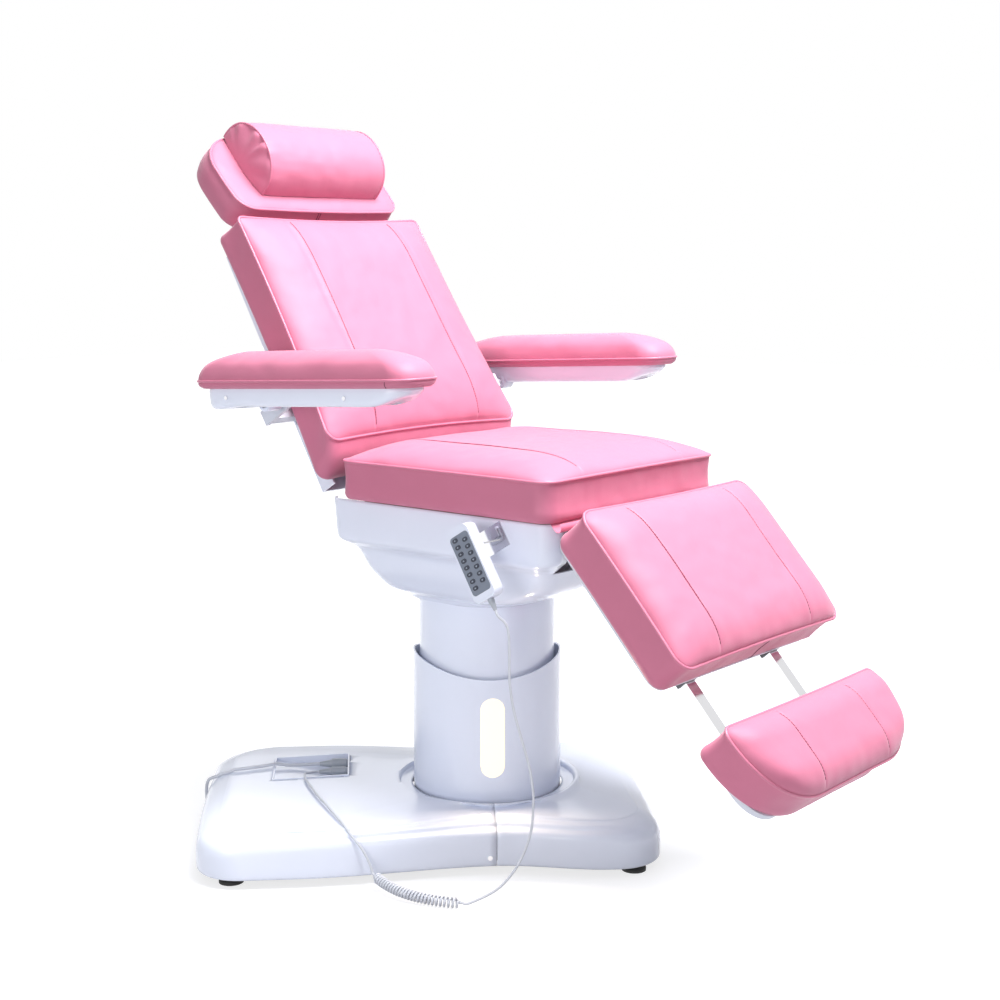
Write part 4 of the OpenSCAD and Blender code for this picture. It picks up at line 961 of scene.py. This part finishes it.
# Distance in from the outline, height above the tray, and how much more it is drawn in along the arm
ARM_STEPS = [(0.008, 0, 1), (0.001, 0.006, 1), (0, 0.015, 1), (0.0025, 0.032, 2), (0.009, 0.048, 2.4),
             (0.021, 0.060, 2.6), (0.036, 0.068, 2.5), (0.050, 0.0715, 2.3), (0.0575, 0.072, 2.2)]
# Distance in from the outline, and height
TRAY_STEPS = [(0.001, 0.034), (0, 0.026), (0.001, 0.012), (0.004, 0.004), (0.010, -0.001), (0.022, -0.002)]
# Radius, and place along the hinge's axis
BOSS_STEPS = [(0.0085, -0.048), (0.0155, -0.048), (0.016, -0.0475), (0.016, -0.0125), (0.0155, -0.012),
              (0.0085, -0.012)]
# Radius, and distance out from the tray's side
SCREW_STEPS = [(0.0042, 0.002), (0.0042, 0.0004), (0.0034, 0.0011), (0.0012, 0.0012), (0.001, 0.0004)]


def arm_pad(loop, seed):
    swell = 0.0016
    rings = []
    for inset, z, stretch in flowing(ARM_STEPS, 6):
        ring = drawn_in(loop, inset, arm_seam + tray_gap + z, stretch)
        off = abs(z - sewn_height)
        for p in ring:
            pull = swell * pucker(p.x + p.y, off, 0.016, seed) * smooth(off / 0.004)
            p.y += math.copysign(pull, p.y)
            p.z += swell * noise.noise(Vector((p.x * 9, p.y * 9, seed))) * smooth((z - 0.03) / 0.03)
        rings.append(ring)
    return loft(rings)


def arm_tray(side):
    """Shell that is deeper at its rear and rises to its front, with the hinge's boss inside."""
    shorter, narrower, corner = 0.022, 0.020, 0.044
    rear_drop, front_rise = 0.008, 0.024
    shell = rounded_loop(arm_rear + shorter, arm_front - shorter, arm_width - narrower, corner)
    rings = []
    for inset, z in flowing(TRAY_STEPS, 3):
        ring = drawn_in(shell, inset, z)
        for p in ring:
            p.z -= rear_drop * smooth((arm_rear + 0.150 - p.x) / 0.110) * smooth((0.030 - z) / 0.026)
            front = smooth((p.x - arm_front + 0.125) / 0.115)
            p.z += front_rise * front ** 1.5 * smooth((0.032 - z) / 0.030)
        rings.append(ring)
    boss = [disc_ring(r, side * y) for r, y in BOSS_STEPS]
    return together([loft(rings), loft(boss, (False, False))])


def arm_screws(side):
    height, in_from_side = 0.016, 0.0098
    screws = []
    for x in (arm_rear + 0.100, arm_rear + 0.430):
        y = side * (arm_width / 2 - in_from_side)
        screws.append([disc_ring(r, y + side * out, x, height, 16) for r, out in SCREW_STEPS])
    return together([loft(rings) for rings in screws])


def make_armrest(side, name):
    place = arm_place(side)
    body, seed = "armrest_" + name, 2.0 + side
    loop = rounded_loop(arm_rear, arm_front, arm_width, arm_corner)
    pad = placed(arm_pad(loop, seed), place)
    cover = piece(f"armrest_cover_{name}", pad, hide, body, sharp=75)
    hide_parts("armrest_cushion_" + name)
    proud, welt_radius, thread_radius = 0.0004, 0.0026, 0.0009
    line = drawn_in(loop, -proud, arm_seam + sewn_height + sewn_gap)
    welt_line = tube(line, welt_radius, 10, closed=True)
    piece(f"armrest_piping_{name}", placed(welt_line, place), welt, body)

    joint_x, joint_y = arm_front - 0.050, side * arm_width / 2
    joint = tube([
        (joint_x + 0.003, joint_y, arm_seam + 0.013),
        (joint_x + 0.002, joint_y, arm_seam + 0.007),
        (joint_x, joint_y - side * 0.006, arm_seam + 0.001),
    ], thread_radius, 6)
    piece(f"armrest_stitching_{name}", placed(joint, place), thread, body)

    shell = placed(arm_tray(side), place)
    tray = piece(f"armrest_tray_shell_{name}", shell, white, body, sharp=45)
    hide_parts("armrest_tray_" + name)
    piece(f"armrest_screws_{name}", placed(arm_screws(side), place), chrome, body)


make_armrest(-1, "right")
make_armrest(1, "left")


# Casing under the seat

casing_top, casing_rear, casing_front, casing_width, casing_low = 0.741, -0.203, 0.365, 0.516, 0.530
casing_hole = 0.146
# Height, rear end, front end, width and corner radius
CASING_LEVELS = [
    (casing_low, -casing_hole - 0.004, casing_hole + 0.006, 2 * casing_hole + 0.012, 0.120),
    (casing_low + 0.011, -casing_hole - 0.007, casing_front - 0.195, 2 * casing_hole + 0.028, 0.110),
    (casing_low + 0.022, -casing_hole - 0.015, casing_front - 0.155, casing_width - 0.160, 0.076),
    (casing_low + 0.044, casing_rear + 0.036, casing_front - 0.093, casing_width - 0.131, 0.056),
    (casing_top - 0.145, casing_rear + 0.030, casing_front - 0.052, casing_width - 0.104, 0.046),
    (casing_top - 0.104, casing_rear + 0.022, casing_front - 0.030, casing_width - 0.064, 0.038),
    (casing_top - 0.086, casing_rear + 0.005, casing_front - 0.013, casing_width - 0.010, 0.034),
    (casing_top - 0.073, casing_rear, casing_front, casing_width, 0.032),
    (casing_top - 0.036, casing_rear - 0.004, casing_front, casing_width, 0.032),
    (casing_top, casing_rear - 0.008, casing_front, casing_width, 0.032),
]


def add_wall(made, thickness):
    wall = made.modifiers.new("wall", "SOLIDIFY")
    wall.thickness = thickness
    wall.offset = 0


def make_casing():
    rings = []
    for z, x0, x1, width, r in flowing(CASING_LEVELS, 4):
        outline = rounded_loop(x0, x1, width, min(r, width / 2 - 0.02), 12, 16)
        rings.append([Vector((x, y, z)) for x, y in outline])
    collar = [
        Vector((casing_hole * math.cos(a), casing_hole * math.sin(a), casing_low + 0.002))
        for a in [math.atan2(p.y, p.x) for p in rings[0]]
    ]
    shape = loft([collar, *rings], (False, False))
    back_half, leg_half, above = casing_width / 2 - 0.024, 0.205, casing_top + 0.009
    shape = cut_away(
        shape,
        (casing_rear - 0.04, -back_half, casing_top - 0.065),
        (casing_rear + 0.09, back_half, above),
    )
    shape = cut_away(
        shape,
        (casing_front - 0.06, -leg_half, casing_top - 0.103),
        (casing_front + 0.04, leg_half, above),
    )
    made = piece("casing_tub", placed(shape, CHAIR), white, "chair", sharp=60)
    add_wall(made, 0.003)
    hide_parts("casing_right", "casing_left")


make_casing()


# Base covers

base_low, deck_shoulder, deck_crown, deck_top = 0.020, 0.110, 0.122, 0.124
head_length, head_reach, foot_length, foot_reach = 0.608, 0.400, 0.344, 0.230
base_half, base_waist, base_corner, base_bulge = 0.308, 0.270, 0.085, 0.012
deck_hole = 0.161
# Distance in from the wall, and height above the base's lower edge: first with a ridge, then plainly round
DECK_STEPS = [
    (0.003, 0), (0.0006, 0.003), (0, 0.012), (0, 0.036), (0, 0.056), (0.0015, 0.063), (0.006, 0.069),
    (0.013, 0.0715), (0.020, 0.0730), (0.024, 0.0760), (0.027, 0.080), (0.032, 0.0825), (0.046, 0.0845),
    (0.052, 0.0868), (0.058, 0.090),
]
ROUND_STEPS = [
    (0.003, 0), (0.0006, 0.003), (0, 0.012), (0, 0.034), (0.001, 0.048), (0.004, 0.058), (0.009, 0.066),
    (0.015, 0.0715), (0.021, 0.0755), (0.027, 0.0785), (0.033, 0.081), (0.039, 0.083), (0.046, 0.085),
    (0.052, 0.0865), (0.058, 0.088),
]
# Distance out from the column's hole, and depth below the deck
HOLE_STEPS = [(0.038, 0.0005), (0.030, 0.001), (0.0275, 0.006), (0.026, 0.0105), (0.018, 0.012), (0, 0.012)]
# Places along half an end of the base: the corner's two ends, and the middle of the end
corner_start, corner_end, rim_end = 6, 11, 14


def base_rim(u, length, reach):
    """Outline of one end of the base, with u from 0 at its waist to rim_end at the middle of its end."""
    run = length - base_bulge
    flat = base_half - base_corner
    if u <= corner_start:
        x = (run - base_corner) * u / corner_start
        y = -mix(base_waist, base_half, smooth(x / reach))
    elif u <= corner_end:
        a = math.radians(90 * (u - corner_start) / (corner_end - corner_start) - 90)
        x, y = run - base_corner + base_corner * math.cos(a), -flat + base_corner * math.sin(a)
    else:
        x, y = run, -flat * (1 - (u - corner_end) / (rim_end - corner_end))
    return Vector((x + base_bulge * (1 - (y / base_half) ** 2) * smooth(x / run), y))


def deck_row(rim, hole, ridge):
    """Points from the wall's foot over the deck to the column's hole."""
    way = hole - rim
    length = way.length
    way /= length
    stations = [
        (mix(a, d, ridge), base_low + mix(b, h, ridge))
        for (d, h), (a, b) in zip(DECK_STEPS, ROUND_STEPS)
    ]
    start = DECK_STEPS[-1][0]
    for s in (0.2, 0.45, 0.7):
        height = mix(deck_shoulder, deck_crown, smooth(s * 0.9) ** 0.8)
        stations.append((start + (length - start) * s, height))
    stations += [(length - d, deck_top - depth) for d, depth in HOLE_STEPS]
    return [Vector((rim.x + way.x * d, rim.y + way.y * d, z)) for d, z in flowing(stations, 3)]


def base_shape(length, reach, sign):
    per_step, half_seam = 5, 0.0004
    ridge_end, ridge_fade = 4, 3.5
    rows = []
    last = 2 * rim_end * per_step
    for i in range(last + 1):
        u = i / per_step
        near = min(u, 2 * rim_end - u)
        rim = base_rim(near, length, reach)
        if u > rim_end:
            rim.y = -rim.y
        a = math.radians(-90 + 180 * i / last)
        ridge = 1 - smooth((near - ridge_end) / ridge_fade)
        row = deck_row(rim, Vector((deck_hole * math.cos(a), deck_hole * math.sin(a))), ridge)
        rows.append([Vector((sign * (p.x + half_seam), p.y, p.z)) for p in row])
    return [p for row in rows for p in row], sheet_faces(len(rows), len(rows[0]))


def make_base():
    recess = ((-0.4643, 0.0297, 0.085), (-0.2977, 0.1863, 0.150))
    head_end = cut_away(base_shape(head_length, head_reach, -1), *recess)
    foot_end = base_shape(foot_length, foot_reach, 1)
    for name, shape in (("head", head_end), ("foot", foot_end)):
        made = piece(f"base_shell_{name}", placed(shape, BASE), white, "base", sharp=60)
        add_wall(made, 0.002)
        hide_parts(f"base_cover_{name}")


make_base()


# Handset marks and the fabric under the seat's front edge


def key_marks():
    """Small raised arrowheads on the keys, up in one column and down in the other."""
    first_key, pitch = 0.052, 0.014
    key_face, under, proud = -0.0271, 0.0003, 0.0002
    half, point = 0.0024, 0.0019
    shapes = []
    for x, rows, lower, tip in ((-0.012, 8, 0, point), (0.012, 7, 0.5, -point)):
        for row in range(rows):
            z = first_key - pitch * (row + lower)
            foot = z - tip * 0.6
            outline = [(x - half, foot), (x + half, foot), (x, z + tip)]
            layers = (key_face + under, key_face - proud)
            shapes.append(loft([[Vector((px, y, pz)) for px, pz in outline] for y in layers]))
    piece("key_marks", placed(together(shapes), HANDSET), mark, "keypad")


key_marks()


def seat_flap():
    """Loop of cover fabric that joins the seat's front edge to the leg rest."""
    section = [(0.372, 0.7462), (0.380, 0.737), (0.388, 0.731), (0.395, 0.733), (0.397, 0.741),
               (0.3935, 0.7478)]
    width, steps, ripple = 0.530, 30, 0.0015
    across = [width * (k / steps - 0.5) for k in range(steps + 1)]
    rows = [
        [Vector((x + ripple * noise.noise(Vector((y * 14, z * 40, 1.7))), y, z)) for y in across]
        for x, z in flowing(section, 4)
    ]
    points = [p for row in rows for p in row]
    faces = [(a, d, c, b) for a, b, c, d in sheet_faces(len(rows), len(across))]
    made = piece("seat_flap", placed((points, faces), CHAIR), hide, None)
    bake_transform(made)


seat_flap()


# Studio


def seen_directly(tree):
    """One where a surface is seen straight on, in gloss or through glass."""
    path = add(tree, "ShaderNodeLightPath")
    total = path.outputs["Is Camera Ray"]
    for label in ("Is Glossy Ray", "Is Transmission Ray"):
        step = add(tree, "ShaderNodeMath", operation="MAXIMUM")
        tree.links.new(total, step.inputs[0])
        tree.links.new(path.outputs[label], step.inputs[1])
        total = step.outputs[0]
    return total


def make_world():
    world = bpy.data.worlds.new("studio")
    scene.world = world
    world.use_nodes = True
    tree = world.node_tree
    lit = tree.nodes["Background"]
    lit.inputs["Color"].default_value = (0.88, 0.92, 1.0, 1)
    lit.inputs["Strength"].default_value = 0.40
    plain = add(tree, "ShaderNodeBackground")
    plain.inputs["Color"].default_value = (1, 1, 1, 1)
    choose = add(tree, "ShaderNodeMixShader")
    tree.links.new(seen_directly(tree), choose.inputs[0])
    tree.links.new(lit.outputs[0], choose.inputs[1])
    tree.links.new(plain.outputs[0], choose.inputs[2])
    tree.links.new(choose.outputs[0], tree.nodes["World Output"].inputs["Surface"])


def make_floor():
    """Floor that fades to plain white round the middle of the base."""
    size = 14
    base_middle = BASE @ Vector((-0.13, 0, 0))
    corners = [(-size, -size, 0), (size, -size, 0), (size, size, 0), (-size, size, 0)]
    mesh = bpy.data.meshes.new("floor")
    mesh.from_pydata(corners, [], [(0, 1, 2, 3)])
    floor = bpy.data.objects.new("floor", mesh)
    floor.location = base_middle
    scene.collection.objects.link(floor)
    material = bpy.data.materials.new("pale_floor")
    material.use_nodes = True
    tree = material.node_tree
    shader = tree.nodes["Principled BSDF"]
    shader.inputs["Base Color"].default_value = (0.36, 0.36, 0.38, 1)
    shader.inputs["Roughness"].default_value = 0.9
    shader.inputs["Emission Color"].default_value = (1, 1, 1, 1)
    far = add(tree, "ShaderNodeVectorMath", operation="LENGTH")
    tree.links.new(add(tree, "ShaderNodeTexCoord").outputs["Object"], far.inputs[0])
    level = add(tree, "ShaderNodeMapRange", interpolation_type="SMOOTHSTEP")
    for label, value in (("From Min", 0.55), ("From Max", 1.1), ("To Min", 0.74), ("To Max", 1.0)):
        level.inputs[label].default_value = value
    tree.links.new(far.outputs["Value"], level.inputs["Value"])
    lift = multiply(tree, seen_directly(tree), level.outputs["Result"])
    tree.links.new(lift, shader.inputs["Emission Strength"])
    mesh.materials.append(material)


def softbox(name, place, aim, size, watts, colour=(1, 1, 1)):
    data = bpy.data.lights.new(name, "AREA")
    data.shape = "RECTANGLE"
    data.size, data.size_y = size
    data.energy = watts
    data.color = colour
    lamp = bpy.data.objects.new(name, data)
    lamp.location = place
    lamp.visible_camera = False
    lamp.rotation_euler = (Vector(aim) - Vector(place)).to_track_quat("-Z", "Y").to_euler()
    scene.collection.objects.link(lamp)


make_world()
make_floor()
softbox("key_softbox", place=(1.2, 0.3, 3.9), aim=(0, 0, 0.7), size=(1.8, 1.8), watts=312)
softbox("fill_softbox", place=(0.7, -4.2, 1.2), aim=(0, 0, 0.6), size=(2.8, 1.6), watts=60)
softbox("rear_softbox", place=(-2.8, 2.6, 2.0), aim=(0, 0, 0.7), size=(2.0, 2.0), watts=12)
softbox("strip_glow", place=(0.032, -0.074, 0.25), aim=(0.132, -0.178, 0.25), size=(0.04, 0.12), watts=1.0,
        colour=(1.0, 0.82, 0.62))
